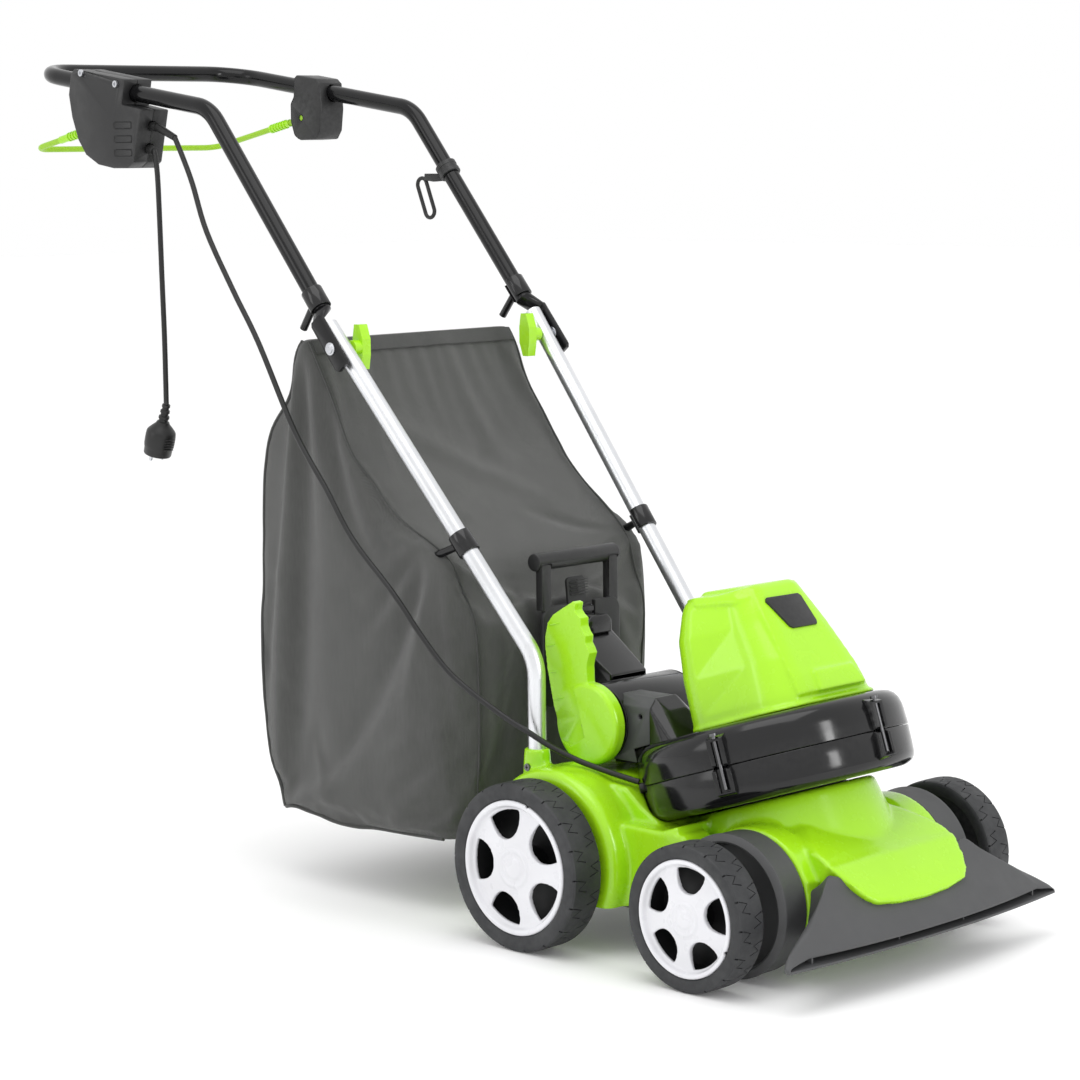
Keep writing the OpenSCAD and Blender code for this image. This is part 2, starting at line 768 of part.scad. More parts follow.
// A flat tab whose far corners are round.
module tab_plate(w, l) {
  translate([-w / 2, 0]) square([w, l - 6]);
  translate([-w / 2 + 6, 0]) square([w - 12, l]);
  for (s = [-1, 1]) translate([s * (w / 2 - 6), l - 6]) circle(6);
}

// A snap-on ring with a gap, and an arm that reaches back to the bag.
module tube_clip(centre, dir, open_angle, arm_end) {
  tilt = acos(dir.z);
  heading = atan2(dir.y, dir.x);
  difference() {
    union() {
      translate(centre) rotate([0, tilt, heading]) translate([0, 0, -14])
        cylinder(r = tube_r + 3, h = 28);
      straight(centre, arm_end, 5);
    }
    translate(centre) rotate([0, tilt, heading]) {
      translate([0, 0, -40]) cylinder(r = tube_r + 0.1, h = 80);
      rotate(open_angle) translate([0, -7, -40]) cube([40, 14, 80]);
    }
  }
}

pivot_pt = [pivot_half, pivot_y, pivot_z];
upper_dir = unit([pivot_half, elbow_pt.y, elbow_pt.z] - pivot_pt);

module upper_clips() {
  color(gloss_black) both_sides()
    tube_clip(pivot_pt + upper_dir * 76, upper_dir, 60, [pivot_half - 2, 146, 712]);
}
module lower_clips() {
  color(gloss_black) both_sides()
    tube_clip(pivot_pt - lean_dir * 300, lean_dir, 60, [170, -79, 442]);
}

// ---- handle -----------------------------------------------------------------------
lean_angle = atan2(lean.z, lean.y);
plate_in = pivot_half + tube_r + 3.8;
plate_w = 26;

module lower_tube(side) {
  top = pivot_pt + lean_dir * lower_end;
  color(silver) mirror([side > 0 ? 0 : 1, 0, 0]) difference() {
    union() {
      bent_tube([[foot_half, foot_y, foot_z], [foot_half, foot_y, knee_z], top], bend_r,
                tube_r, tube_r - tube_wall);
      straight(top - lean_dir * 3, top + lean_dir, tube_r - tube_wall / 2);
    }
    along_x(pivot_half - 30, pivot_half + 30, pivot_y, pivot_z, 3 + running);
    along_x(foot_half, foot_half + 30, foot_y, 200, 2.6);
  }
}
module lower_tube_right() { lower_tube(-1); }
module lower_tube_left() { lower_tube(1); }

// Flat outer end of the upper handle, in the plane of the pivot bolt's washer.
module flat_end() {
  translate([plate_in, pivot_y, pivot_z]) rotate([lean_angle, 0, 0]) rotate([90, 0, 90])
    linear_extrude(6) difference() {
      translate([8, 0]) round_plate(76, plate_w, 7);
      circle(3 + running);
    }
}

module handle_root() {
  start = pivot_pt + upper_dir * 58;
  hull() {
    translate([plate_in, pivot_y, pivot_z]) rotate([lean_angle, 0, 0])
      translate([0.2, 40, -plate_w / 2 + 1]) cube([5.6, 4, plate_w - 2]);
    straight(start - upper_dir * 2, start, tube_r + 0.4, $fn = 32);
  }
}

module upper_handle() {
  start = pivot_pt + upper_dir * 57;
  near_elbow = [pivot_half, elbow_pt.y, elbow_pt.z];
  corner = [pivot_half, bar_y, bar_z];
  function swap(p) = [-p.x, p.y, p.z];
  color(gloss_black) {
    both_sides() {
      flat_end();
      handle_root();
    }
    bent_tube([swap(start), swap(near_elbow), swap(corner), corner, near_elbow, start],
              bend_r, tube_r, tube_r - tube_wall);
  }
}

// Carriage bolts with a washer that spaces the flat end off the lower tube.
module pivot_bolts() {
  color(steel) both_sides() {
    along_x(pivot_half - 34, plate_in + 6, pivot_y, pivot_z, 3);
    along_x(plate_in + 6, plate_in + 8, pivot_y, pivot_z, 8);
    along_x(plate_in + 8, plate_in + 10, pivot_y, pivot_z, 6);
    difference() {
      along_x(plate_in - 1.5, plate_in, pivot_y, pivot_z, 8);
      along_x(plate_in - 3, plate_in + 1, pivot_y, pivot_z, 3);
    }
  }
}

module knob(side) {
  color(lime) mirror([side > 0 ? 0 : 1, 0, 0]) difference() {
    union() {
      along_x(pivot_half - 26, pivot_half - 13, pivot_y, pivot_z, 9);
      translate([pivot_half - 38, pivot_y, pivot_z]) rotate([90, 0, 90]) linear_extrude(14)
        polygon([[-9, -10], [-6, -28], [3, -28], [9, -10], [9, 10], [6, 28], [-3, 28], [-9, 10]]);
    }
    along_x(pivot_half - 34.5, pivot_half, pivot_y, pivot_z, 3 + running);
  }
}
module knob_right() { knob(-1); }
module knob_left() { knob(1); }

// ---- switch box, bail and hook -------------------------------------------------------
box_out = -203;
box_mid = -179;
box_in = -155;
bail_y = 520;
bail_z = 980;
bail_x = 162;
bail_r = 4;
arm_start = [pivot_half, elbow_pt.y, elbow_pt.z];
arm_end = [pivot_half, bar_y, bar_z];

module box_outline() {
  polygon([[430, 990], [470, 997], [463, 1030], [568, 1046], [576, 1040], [582, 1012],
           [576, 982], [564, 952], [548, 932], [522, 919], [490, 914], [460, 914], [447, 922]]);
}
module box_cavity() {
  polygon([[434, 986], [449, 928], [462, 918], [520, 923], [544, 936], [559, 954],
           [571, 984], [560, 994], [478, 994]]);
}

module box_half(x0, x1, inner0, inner1) {
  difference() {
    translate([x0, 0, 0]) rotate([90, 0, 90]) linear_extrude(x1 - x0) box_outline();
    translate([inner0, 0, 0]) rotate([90, 0, 90]) linear_extrude(inner1 - inner0) box_cavity();
    mirror([1, 0, 0]) straight(arm_start, arm_end, tube_r + 0.1);
    for (p = [[553, 1040], [480, 1024]]) along_x(-210, -150, p[0] - 2, p[1], 2.2);
    translate([box_mid, 442, 969]) rotate([90, 0, 0]) cylinder(r = 6, h = 40, center = true);
    translate([box_mid, 448, 940]) rotate([90, 0, 0]) cylinder(r = 6, h = 40, center = true);
  }
}

module switch_box_outer() {
  color(charcoal) difference() {
    union() {
      box_half(box_out, box_mid, box_out + 3, box_mid + 1);
      along_x(box_out + 2, -157, bail_y, bail_z, 4);
    }
    for (z = [930, 948, 966]) block([box_out - 1, 450, z], [box_out + 1, 486, z + 8]);
  }
}

module switch_box_inner() {
  color(charcoal) difference() {
    box_half(box_mid, box_in, box_mid - 1, box_in - 3);
    block([-168.5, 505, 950], [-155.8, 620, 1020]);
    along_x(-160, -150, bail_y, bail_z, 4.1);
    along_x(-160, -150, 470, 955, 8 + 0.3);
  }
}

module switch_unit() {
  color([0.1, 0.1, 0.1]) union() {
    block([-199, 466, 930], [-174, 500, 962]);
    along_x(-174, -172.8, 472, 955, 3);
  }
}

module lock_button() {
  color(lime) union() {
    along_x(-164, -150, 470, 955, 8);
    along_x(-167, -162, 470, 955, 10);
  }
}

module box_screws() {
  color(steel) for (p = [[553, 1040], [480, 1024]])
    translate([-158, p[0] - 2, p[1]]) rotate([0, -90, 0]) screw(45.4);
}

module pivot_block() {
  color(charcoal) difference() {
    translate([154, 0, 0]) rotate([90, 0, 90]) linear_extrude(43)
      polygon([[477, 992], [481, 962], [490, 950], [523, 949], [534, 956], [541, 975],
               [541, 1000], [534, 1010], [533, 1036], [528, 1040], [487, 1034], [480, 1028]]);
    translate([156, 0, 0]) rotate([90, 0, 90]) linear_extrude(12)
      polygon([[505, 960], [505, 994], [560, 1030], [560, 950], [520, 952]]);
    straight(arm_start, arm_end, tube_r + 0.1);
    along_x(150, 172, bail_y, bail_z, 4);
  }
}

// The bail's own pin in the far block, its rod and its two eyes.
module bail_rod() {
  near = [-bail_x, bail_y, bail_z];
  far = [bail_x, bail_y, bail_z];
  function rear(x) = [x, 716, 940];
  color(lime) difference() {
    union() {
      bent_tube([near, rear(-bail_x), rear(bail_x), far], 22, bail_r);
      along_x(-bail_x - 5, -bail_x + 5, bail_y, bail_z, 8);
      along_x(bail_x - 5, bail_x + 5, bail_y, bail_z, 8);
      along_x(bail_x - 6.5, bail_x + 9.5, bail_y, bail_z, 4 - running);
    }
    along_x(-bail_x - 10, -bail_x + 10, bail_y, bail_z, 4 + running);
  }
}

module bail_boots() {
  dir = unit([0, 716 - bail_y, 940 - bail_z]);
  color(lime) for (b = [[-bail_x, 78, 138], [bail_x, 32, 74]])
    difference() {
      union() {
        straight([b[0], bail_y, bail_z] + dir * b[1], [b[0], bail_y, bail_z] + dir * b[2], 5.2);
        for (k = [0 : 5])
          straight([b[0], bail_y, bail_z] + dir * (b[1] + 8 + k * 6),
                   [b[0], bail_y, bail_z] + dir * (b[1] + 11 + k * 6), 6.3);
      }
      straight([b[0], bail_y, bail_z], [b[0], bail_y, bail_z] + dir * 160, bail_r);
    }
}

// Clip and loop on the left arm that hold an extension lead.
module cable_hook() {
  centre = pivot_pt + upper_dir * 280;
  color(charcoal) {
    difference() {
      union() {
        straight(centre - upper_dir * 9, centre + upper_dir * 9, tube_r + 3.5);
        block([centre.x - 4, centre.y + 10, centre.z - 16], [centre.x + 4, centre.y + 44, centre.z - 4]);
      }
      straight(centre - upper_dir * 40, centre + upper_dir * 40, tube_r + 0.1);
    }
    translate([centre.x - 3, centre.y + 44, centre.z - 38]) rotate([-22, 0, 0]) rotate([90, 0, 90])
      linear_extrude(6) difference() {
        round_plate(24, 60, 11);
        round_plate(13, 46, 6);
      }
  }
}

// ---- cords --------------------------------------------------------------------------
mains_route = [[-180, 431, 937], [-183, 424, 920], [-186, 418, 896], [-188, 414, 848],
  [-189, 411, 770], [-189, 409, 690], [-189, 409, 604]];
upper_route = [[-180, 388, 953], [-184, 368, 928], [-190, 342, 893], [-198, 306, 832],
  [-206, 246, 758], [-212, 192, 694]];
lower_route = [[-212, 191, 692], [-218, 120, 587], [-220, 62, 520], [-220, 14, 460],
  [-216, -52, 400], [-210, -100, 346], [-204, -136, 310], [-197, -176, 284],
  [-187, -216, 261], [-178, -244, 246], [-166, -270, 230], [-151, -300, 215],
  [-138, -340, 204], [-132, -363, 199], [-127, -375, 196]];

module mains_lead() { color(charcoal) cord(smooth_route(mains_route, 3), cord_d / 2); }
module motor_lead_upper() { color(charcoal) cord(smooth_route(upper_route, 4), cord_d / 2); }
module motor_lead_lower() { color(charcoal) cord(smooth_route(lower_route, 3), cord_d / 2); }

// Gland bosses of both leads, with the long strain relief of the motor lead.
module glands() {
  relief = unit([-180, 388, 953] - [-179, 424, 967]);
  color(charcoal) {
    straight([-179, 446, 969], [-179, 424, 967], 6 - running);
    translate([-179, 424, 967])
      rotate([0, acos(relief.z), atan2(relief.y, relief.x)])
        cylinder(r1 = 5.5, r2 = 4.3, h = norm([-180, 388, 953] - [-179, 424, 967]));
    straight([-179, 452, 940], [-180, 431, 937], 6 - running);
  }
}

// Earthed plug with a ribbed neck and two round pins.
module plug() {
  color(charcoal) translate(mains_route[6]) rotate([180 + 18, 0, 0]) {
    rotate_extrude()
      polygon([[0, 0], [5, 0], [7, 12], [6, 14], [8, 22], [7, 24], [12, 30], [18, 36],
               [20, 44], [20, 56], [18.5, 60], [18.5, 70], [16, 70], [16, 62], [0, 62]]);
    for (s = [-1, 1]) translate([s * 9.5, 0, 60]) cylinder(r = 2.4, h = 19);
  }
}

// Grommet where the motor lead enters the fan housing.
module grommet() {
  color(charcoal) in_fan() rotate(140.6) translate([fan_r - 2, 0, 52 - 7]) rotate([0, 90, 0])
    cylinder(r = 6, h = 7);
}

deck_shell();
belly_pan();
intake_nozzle();
intake_duct();
side_caps();
front_axle();
rear_axle();
axle_bushes();
axle_retainers();
tyre_front_right();
tyre_front_left();
tyre_rear_right();
tyre_rear_left();
rim_front_right();
rim_front_left();
rim_rear_right();
rim_rear_left();
fan_housing_lower();
fan_housing_upper();
body_screws();
impeller();
motor_stator();
motor_armature();
motor_bearings();
motor_bracket();
motor_cover();
badge_panel();
outlet_collar();
diverter_housing();
diverter_end_cap();
diverter_valve();
mode_lever();
rear_duct();
bag_connector();
connector_latch();
latch_pin();
bag();
upper_clips();
lower_clips();
lower_tube_right();
lower_tube_left();
pivot_bolts();
knob_right();
knob_left();
upper_handle();
switch_box_outer();
switch_box_inner();
switch_unit();
lock_button();
pivot_block();
box_screws();
bail_rod();
bail_boots();
cable_hook();
glands();
mains_lead();
plug();
motor_lead_upper();
motor_lead_lower();
grommet();
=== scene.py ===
"""Looks of a walk-behind garden vacuum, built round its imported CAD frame.

Everything is in metres in the CAD frame: +Z up, the nozzle faces -Y, the operator stands at +Y.
"""

import json
import math

import bmesh
import bpy
import numpy as np
from mathutils import Matrix, Vector
from mathutils.bvhtree import BVHTree

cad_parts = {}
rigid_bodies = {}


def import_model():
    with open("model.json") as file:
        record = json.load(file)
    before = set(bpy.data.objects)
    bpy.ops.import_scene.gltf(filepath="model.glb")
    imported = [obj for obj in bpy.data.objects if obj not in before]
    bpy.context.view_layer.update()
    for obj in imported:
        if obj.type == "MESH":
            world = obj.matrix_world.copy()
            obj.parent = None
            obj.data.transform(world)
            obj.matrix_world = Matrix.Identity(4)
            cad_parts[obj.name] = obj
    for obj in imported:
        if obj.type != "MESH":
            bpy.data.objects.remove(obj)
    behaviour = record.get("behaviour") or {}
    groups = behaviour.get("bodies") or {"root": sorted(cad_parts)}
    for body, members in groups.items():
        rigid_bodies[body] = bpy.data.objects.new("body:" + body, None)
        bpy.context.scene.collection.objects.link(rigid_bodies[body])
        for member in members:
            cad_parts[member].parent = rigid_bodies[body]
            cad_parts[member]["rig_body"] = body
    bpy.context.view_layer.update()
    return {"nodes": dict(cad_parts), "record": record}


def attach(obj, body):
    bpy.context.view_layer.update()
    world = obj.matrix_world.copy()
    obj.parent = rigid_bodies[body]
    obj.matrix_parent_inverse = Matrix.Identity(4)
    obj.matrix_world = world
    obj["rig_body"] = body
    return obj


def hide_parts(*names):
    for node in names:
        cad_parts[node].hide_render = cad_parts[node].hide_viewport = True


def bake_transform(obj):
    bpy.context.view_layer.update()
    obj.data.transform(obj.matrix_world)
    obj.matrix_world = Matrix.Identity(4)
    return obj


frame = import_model()
NODES = frame["nodes"]
MM = 0.001


# ---- camera, light and floor ---------------------------------------------------
def look_through_camera():
    """A long lens a little above the deck, off the machine's front right corner."""
    place = Vector((-2.7238, -2.7558, 0.9358))
    target = Vector((0.0, -0.09684, 0.450))
    roll = math.radians(-0.63)
    ahead = (target - place).normalized()
    right = ahead.cross(Vector((0, 0, 1))).normalized()
    up = right.cross(ahead)
    across = right * math.cos(roll) + up * math.sin(roll)
    upward = up * math.cos(roll) - right * math.sin(roll)
    data = bpy.data.cameras.new("camera")
    data.sensor_width = 36
    data.lens = 101.935
    data.shift_x = -0.0021
    data.shift_y = -0.0025
    data.clip_end = 60
    camera = bpy.data.objects.new("camera", data)
    axes = Matrix((across, upward, -ahead)).transposed().to_4x4()
    camera.matrix_world = Matrix.Translation(place) @ axes
    bpy.context.scene.collection.objects.link(camera)
    bpy.context.scene.camera = camera


def area_light(name, place, target, size, power, tint=(1, 1, 1)):
    data = bpy.data.lights.new(name, "AREA")
    data.shape = "RECTANGLE"
    data.size, data.size_y = size
    data.energy = power
    data.color = tint
    lamp = bpy.data.objects.new(name, data)
    lamp.location = place
    lamp.rotation_euler = (Vector(target) - Vector(place)).to_track_quat("-Z", "Y").to_euler()
    bpy.context.scene.collection.objects.link(lamp)


def light_studio():
    """A white room, with softboxes above, ahead and to the left for the highlights."""
    world = bpy.data.worlds.new("studio")
    world.use_nodes = True
    backdrop = world.node_tree.nodes["Background"]
    backdrop.inputs["Color"].default_value = (1.0, 1.0, 1.0, 1)
    backdrop.inputs["Strength"].default_value = 1.0
    bpy.context.scene.world = world
    bpy.context.scene.view_settings.view_transform = "Standard"
    area_light("top_softbox", (-0.6, -0.4, 3.2), (0, 0, 0.3), (2.2, 2.2), 26)
    area_light("strip_softbox", (-0.05, -3.9, 1.55), (0, -0.5, 0.3), (0.5, 1.7), 26)
    area_light("left_softbox", (-3.4, 1.2, 1.9), (0, 0, 0.5), (1.0, 2.0), 12)


def lay_floor():
    bpy.ops.mesh.primitive_plane_add(size=40, location=(0, 0, 0))
    floor = bpy.context.object
    floor.name = "floor"
    material = bpy.data.materials.new("floor_paper")
    material.use_nodes = True
    shader = material.node_tree.nodes["Principled BSDF"]
    shader.inputs["Base Color"].default_value = (0.97, 0.97, 0.97, 1)
    shader.inputs["Emission Color"].default_value = (1, 1, 1, 1)
    shader.inputs["Emission Strength"].default_value = 0.05
    shader.inputs["Roughness"].default_value = 0.55
    floor.data.materials.append(material)


look_through_camera()
light_studio()
lay_floor()


# ---- materials -----------------------------------------------------------------
class Surface:
    """Builds one node material; values that don't vary go straight on the shader."""

    def __init__(self, name, **fixed):
        self.material = bpy.data.materials.new(name)
        self.material.use_nodes = True
        self.tree = self.material.node_tree
        self.shader = self.tree.nodes["Principled BSDF"]
        for key, value in fixed.items():
            self.shader.inputs[key.replace("_", " ")].default_value = value
        self.place = self.tree.nodes.new("ShaderNodeTexCoord").outputs["Object"]

    def node(self, kind, inputs=None, **settings):
        made = self.tree.nodes.new(kind)
        for key, value in settings.items():
            setattr(made, key, value)
        for key, value in (inputs or {}).items():
            if isinstance(value, bpy.types.NodeSocket):
                self.tree.links.new(value, made.inputs[key])
            else:
                made.inputs[key].default_value = value
        return made

    def noise(self, scale, detail=3, rough=0.5, stretch=None):
        where = self.place
        if stretch:
            where = self.node("ShaderNodeMapping", {"Vector": where, "Scale": stretch}).outputs[0]
        return self.node("ShaderNodeTexNoise", {"Vector": where, "Scale": scale, "Detail": detail,
                                                "Roughness": rough}).outputs["Fac"]

    def ramp(self, source, low, high, start=0.3, end=0.7):
        made = self.node("ShaderNodeMapRange", {"Value": source, "From Min": start, "From Max": end,
                                                "To Min": low, "To Max": high})
        return made.outputs["Result"]

    def blend(self, amount, first, second):
        """A mix of two colours; 0, 6 and 7 are the mix node's factor and colour sockets."""
        return self.node("ShaderNodeMix", {0: amount, 6: first, 7: second}, data_type="RGBA").outputs[2]

    def math(self, operation, first, second=0.0):
        return self.node("ShaderNodeMath", {0: first, 1: second}, operation=operation).outputs[0]

    def edges(self):
        """Near 1 on sharp convex edges: where a surface gets handled and scuffed."""
        bevel = self.node("ShaderNodeNewGeometry").outputs["Pointiness"]
        return self.ramp(bevel, 0, 1, 0.53, 0.62)

    def bump(self, height, distance):
        made = self.node("ShaderNodeBump", {"Height": height, "Distance": distance, "Strength": 1.0})
        self.tree.links.new(made.outputs["Normal"], self.shader.inputs["Normal"])

    def set(self, **links):
        for key, value in links.items():
            self.tree.links.new(value, self.shader.inputs[key.replace("_", " ")])
        return self.material


def rgba(colour, gain=1.0):
    return (colour[0] * gain, colour[1] * gain, colour[2] * gain, 1)


def moulded(name, colour, rough, grain=1400, depth=0.00004, spread=0.06, coat=0.0, wear=0.25):
    """Moulded plastic: orange peel or fine grain, slight mottling, paler handled edges."""
    s = Surface(name, IOR=1.46, Coat_Weight=coat, Coat_Roughness=0.08)
    s.bump(s.noise(grain, 2), depth)
    cloud = s.noise(9, 4)
    base = s.blend(s.ramp(cloud, 0, 1), rgba(colour, 1 - spread), rgba(colour, 1 + spread))
    pale = tuple(c + 0.12 * (1 - c) for c in colour)
    scuffs = s.math("MULTIPLY", s.edges(), s.ramp(s.noise(160, 3), 0, wear))
    return s.set(Base_Color=s.blend(scuffs, base, rgba(pale)),
                 Roughness=s.ramp(s.noise(55, 5), rough - 0.05, rough + 0.06))


def metal(name, colour, rough, stretch, depth=0.00002):
    """Drawn or brushed metal, with fine streaks along stretch's small axis."""
    s = Surface(name, Metallic=1.0)
    streaks = s.noise(900, 2, stretch=stretch)
    s.bump(streaks, depth)
    base = s.blend(s.ramp(s.noise(14, 4), 0, 1), rgba(colour, 0.93), rgba(colour, 1.05))
    return s.set(Base_Color=base, Roughness=s.ramp(streaks, rough - 0.06, rough + 0.08))


def coated(name, colour, rough):
    """Powder coat over steel tube: smooth, faintly pebbled."""
    s = Surface(name, IOR=1.36)
    s.bump(s.noise(300, 2), 0.000004)
    base = s.blend(s.ramp(s.noise(20, 4), 0, 1), rgba(colour, 0.85), rgba(colour, 1.15))
    return s.set(Base_Color=base, Roughness=s.ramp(s.noise(90, 4), rough - 0.04, rough + 0.06))


def tyre_compound():
    s = Surface("tyre_compound", IOR=1.5)
    s.bump(s.noise(900, 4), 0.00012)
    dust = s.ramp(s.noise(26, 5), 0, 1, 0.42, 0.7)
    return s.set(Base_Color=s.blend(dust, (0.026, 0.027, 0.029, 1), (0.044, 0.045, 0.047, 1)),
                 Roughness=s.ramp(s.noise(120, 4), 0.55, 0.75))


def woven_cloth(name="woven_cloth", colour=(0.068, 0.069, 0.066), pitch=0.0011):
    """Plain weave: two crossed sets of threads, paler in broad random patches."""
    s = Surface(name, Sheen_Weight=0.25, Sheen_Roughness=0.5, IOR=1.4)
    parts = s.node("ShaderNodeSeparateXYZ", {"Vector": s.place})
    turns = 2 * math.pi / pitch
    along = s.math("ADD", parts.outputs["X"], parts.outputs["Y"])
    warp = s.math("SINE", s.math("MULTIPLY", along, turns))
    weft = s.math("SINE", s.math("MULTIPLY", parts.outputs["Z"], turns))
    weave = s.math("MULTIPLY", warp, weft)
    slubs = s.noise(420, 3, stretch=(1, 1, 0.12))
    height = s.math("ADD", s.math("MULTIPLY", weave, 0.5), slubs)
    s.bump(height, 0.00022)
    # Colour follows the weave's height: a painted highlight on the raised crossings and painted shade in the
    # hollows between threads; the slubs also vary the yarn's tone
    weave_light_and_slubs = s.ramp(height, 0, 1, -0.1, 1.2)
    base = s.blend(weave_light_and_slubs, rgba(colour, 0.72), rgba(colour, 1.25))
    patches = s.ramp(s.noise(7, 5, 0.6), 0, 0.45, 0.35, 0.75)
    return s.set(Base_Color=s.blend(patches, base, rgba(colour, 1.35)),
                 Roughness=s.ramp(s.noise(60, 4), 0.82, 0.95))


LIME = (0.365, 0.735, 0.010)
GREY = (0.066, 0.067, 0.069)
MATERIALS = {
    "lime_plastic": moulded("lime_plastic", LIME, 0.25, grain=700, depth=0.000006, spread=0.03, coat=0.3),
    "grey_plastic": moulded("grey_plastic", GREY, 0.55, grain=1500, depth=0.00003),
    "dark_plastic": moulded("dark_plastic", (0.016, 0.016, 0.0165), 0.42, grain=1500, depth=0.00002),
    "black_plastic": moulded("black_plastic", (0.006, 0.006, 0.0065), 0.14, grain=500, depth=0.00001),
    # Black for the barrel and dish behind the wheel windows: painted shade
    "rim_shade_black": moulded("rim_shade_black", (0.006, 0.006, 0.007), 0.5, grain=900, depth=0.00005),
    "white_cover": moulded("white_cover", (0.74, 0.74, 0.77), 0.3, grain=700, depth=0.00001, coat=0.4),
    "tyre_compound": tyre_compound(),
    "bare_tube": metal("bare_tube", (0.76, 0.77, 0.79), 0.32, (1, 1, 0.05)),
    "coated_tube": coated("coated_tube", (0.006, 0.006, 0.0065), 0.16),
    "lime_coated_rod": moulded("lime_coated_rod", (0.30, 0.56, 0.012), 0.34, grain=900,
                               depth=0.000006, spread=0.04),
    "zinc_steel": metal("zinc_steel", (0.62, 0.63, 0.66), 0.3, (1, 1, 1)),
    # Darkened steel for the body screws: painted shade of the drum lugs' slots
    "slot_shade_steel": metal("slot_shade_steel", (0.16, 0.16, 0.165), 0.34, (1, 1, 1)),
    "cast_bracket": metal("cast_bracket", (0.55, 0.56, 0.58), 0.5, (1, 1, 1), 0.0001),
    "winding": metal("winding", (0.6, 0.3, 0.14), 0.4, (1, 1, 8), 0.0002),
    "woven_cloth": woven_cloth(),
    "lead_sheath": moulded("lead_sheath", (0.009, 0.009, 0.009), 0.42, grain=1200, depth=0.00001),
}
SLOT_FOR = {"rim_shade_black": "grey_plastic", "dark_plastic": "grey_plastic"}
SLOT_OF = {p["node"]: p["material_slot"] for p in frame["record"]["subparts"]}
# The body screws take the darkened steel: painted shade, standing in for the shade inside the lug slots where
# their shafts show
SLOT_SHADE_MATERIAL_OF = {"body_screws": "slot_shade_steel"}
for node_name, node_object in NODES.items():
    node_object.data.materials.clear()
    node_object.data.materials.append(MATERIALS[SLOT_SHADE_MATERIAL_OF.get(node_name, SLOT_OF[node_name])])


# ---- mesh tools ------------------------------------------------------------------
def linked(name, mesh):
    """A new object for a mesh, in the scene."""
    piece = bpy.data.objects.new(name, mesh)
    bpy.context.scene.collection.objects.link(piece)
    return piece


def add_piece(name, verts, faces, slot, body, replaces=(), smooth=40):
    """A named mesh with a material slot's finish, riding on a body."""
    mesh = bpy.data.meshes.new(name)
    mesh.from_pydata([tuple(v) for v in verts], [], [tuple(f) for f in faces])
    mesh.update()
    return dress(linked(name, mesh), slot, body, replaces, smooth)


def dress(piece, slot, body, replaces=(), smooth=40):
    """Gives a piece its finish and smoothing, its body and the CAD nodes that it stands for."""
    piece.data.materials.clear()
    piece.data.materials.append(MATERIALS[slot])
    shade(piece, smooth)
    if body:
        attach(piece, body)
    if replaces:
        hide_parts(*replaces)
    SLOT_FOR.get(slot, slot)
    return piece


def shade(piece, angle):
    """Smooth shading, broken at edges sharper than angle degrees."""
    piece.data.polygons.foreach_set("use_smooth", [True] * len(piece.data.polygons))
    piece.data.set_sharp_from_angle(angle=math.radians(angle))


def bake(piece, *modifiers):
    """Adds modifiers, each (kind, settings), and applies them."""
    for kind, settings in modifiers:
        made = piece.modifiers.new(kind.lower(), kind)
        for key, value in settings.items():
            setattr(made, key, value)
    graph = bpy.context.evaluated_depsgraph_get()
    graph.update()
    mesh = bpy.data.meshes.new_from_object(piece.evaluated_get(graph), depsgraph=graph)
    old = piece.data
    piece.modifiers.clear()
    piece.data = mesh
    bpy.data.meshes.remove(old)
    mesh.name = piece.name
    return piece


def soften(node, width, finish=None):
    """A copy of a CAD node with rounded edges, as a mould or a file leaves them."""
    source = NODES[node]
    mesh = source.data.copy()
    piece = linked("soft_" + node, mesh)
    work = bmesh.new()
    work.from_mesh(mesh)
    bmesh.ops.remove_doubles(work, verts=work.verts, dist=1e-6)
    bmesh.ops.dissolve_limit(work, angle_limit=math.radians(0.6), verts=work.verts, edges=work.edges)
    work.to_mesh(mesh)
    work.free()
    shade(piece, 30)
    bake(piece, ("BEVEL", dict(width=width * MM, segments=2, limit_method="ANGLE",
                               angle_limit=math.radians(32), use_clamp_overlap=False)))
    return dress(piece, finish or SLOT_OF[node], source["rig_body"], [node], 35)


def skin(rings, n, closed=False):
    """Quads between neighbouring rings of n points; closed joins the last ring to the first."""
    return [(i * n + k, i * n + (k + 1) % n, (i + 1) % rings * n + (k + 1) % n, (i + 1) % rings * n + k)
            for i in range(rings if closed else rings - 1) for k in range(n)]


def end_caps(rings, n):
    return [tuple(range(n))[::-1], tuple(range((rings - 1) * n, rings * n))]


def prism_faces(n):
    """Faces of two outlines of n points each, joined by a wall."""
    walls = [[k, n + k, n + (k + 1) % n, (k + 1) % n] for k in range(n)]
    return [list(range(n)), list(range(2 * n - 1, n - 1, -1))] + walls


def turn_rings(profile, origin, axis, sides, unit=1.0):
    """A ring of points for each (distance along axis, radius) of a profile, in unit."""
    axis = Vector(axis).normalized()
    side = axis.orthogonal().normalized()
    other = axis.cross(side)
    origin = Vector(origin)
    turns = [2 * math.pi * k / sides for k in range(sides)]
    return [origin + axis * along * unit + (side * math.cos(t) + other * math.sin(t)) * radius * unit
            for along, radius in profile for t in turns]


def frame_along(points):
    """Steady cross-section axes along a path: a list of (side, other)."""
    points = [Vector(p) for p in points]
    last = len(points) - 1
    tangents = [(points[min(i + 1, last)] - points[max(i - 1, 0)]).normalized() for i in range(last + 1)]
    side = tangents[0].orthogonal().normalized()
    axes = []
    for tangent in tangents:
        side = (side - tangent * side.dot(tangent)).normalized()
        axes.append((side, tangent.cross(side)))
    return axes


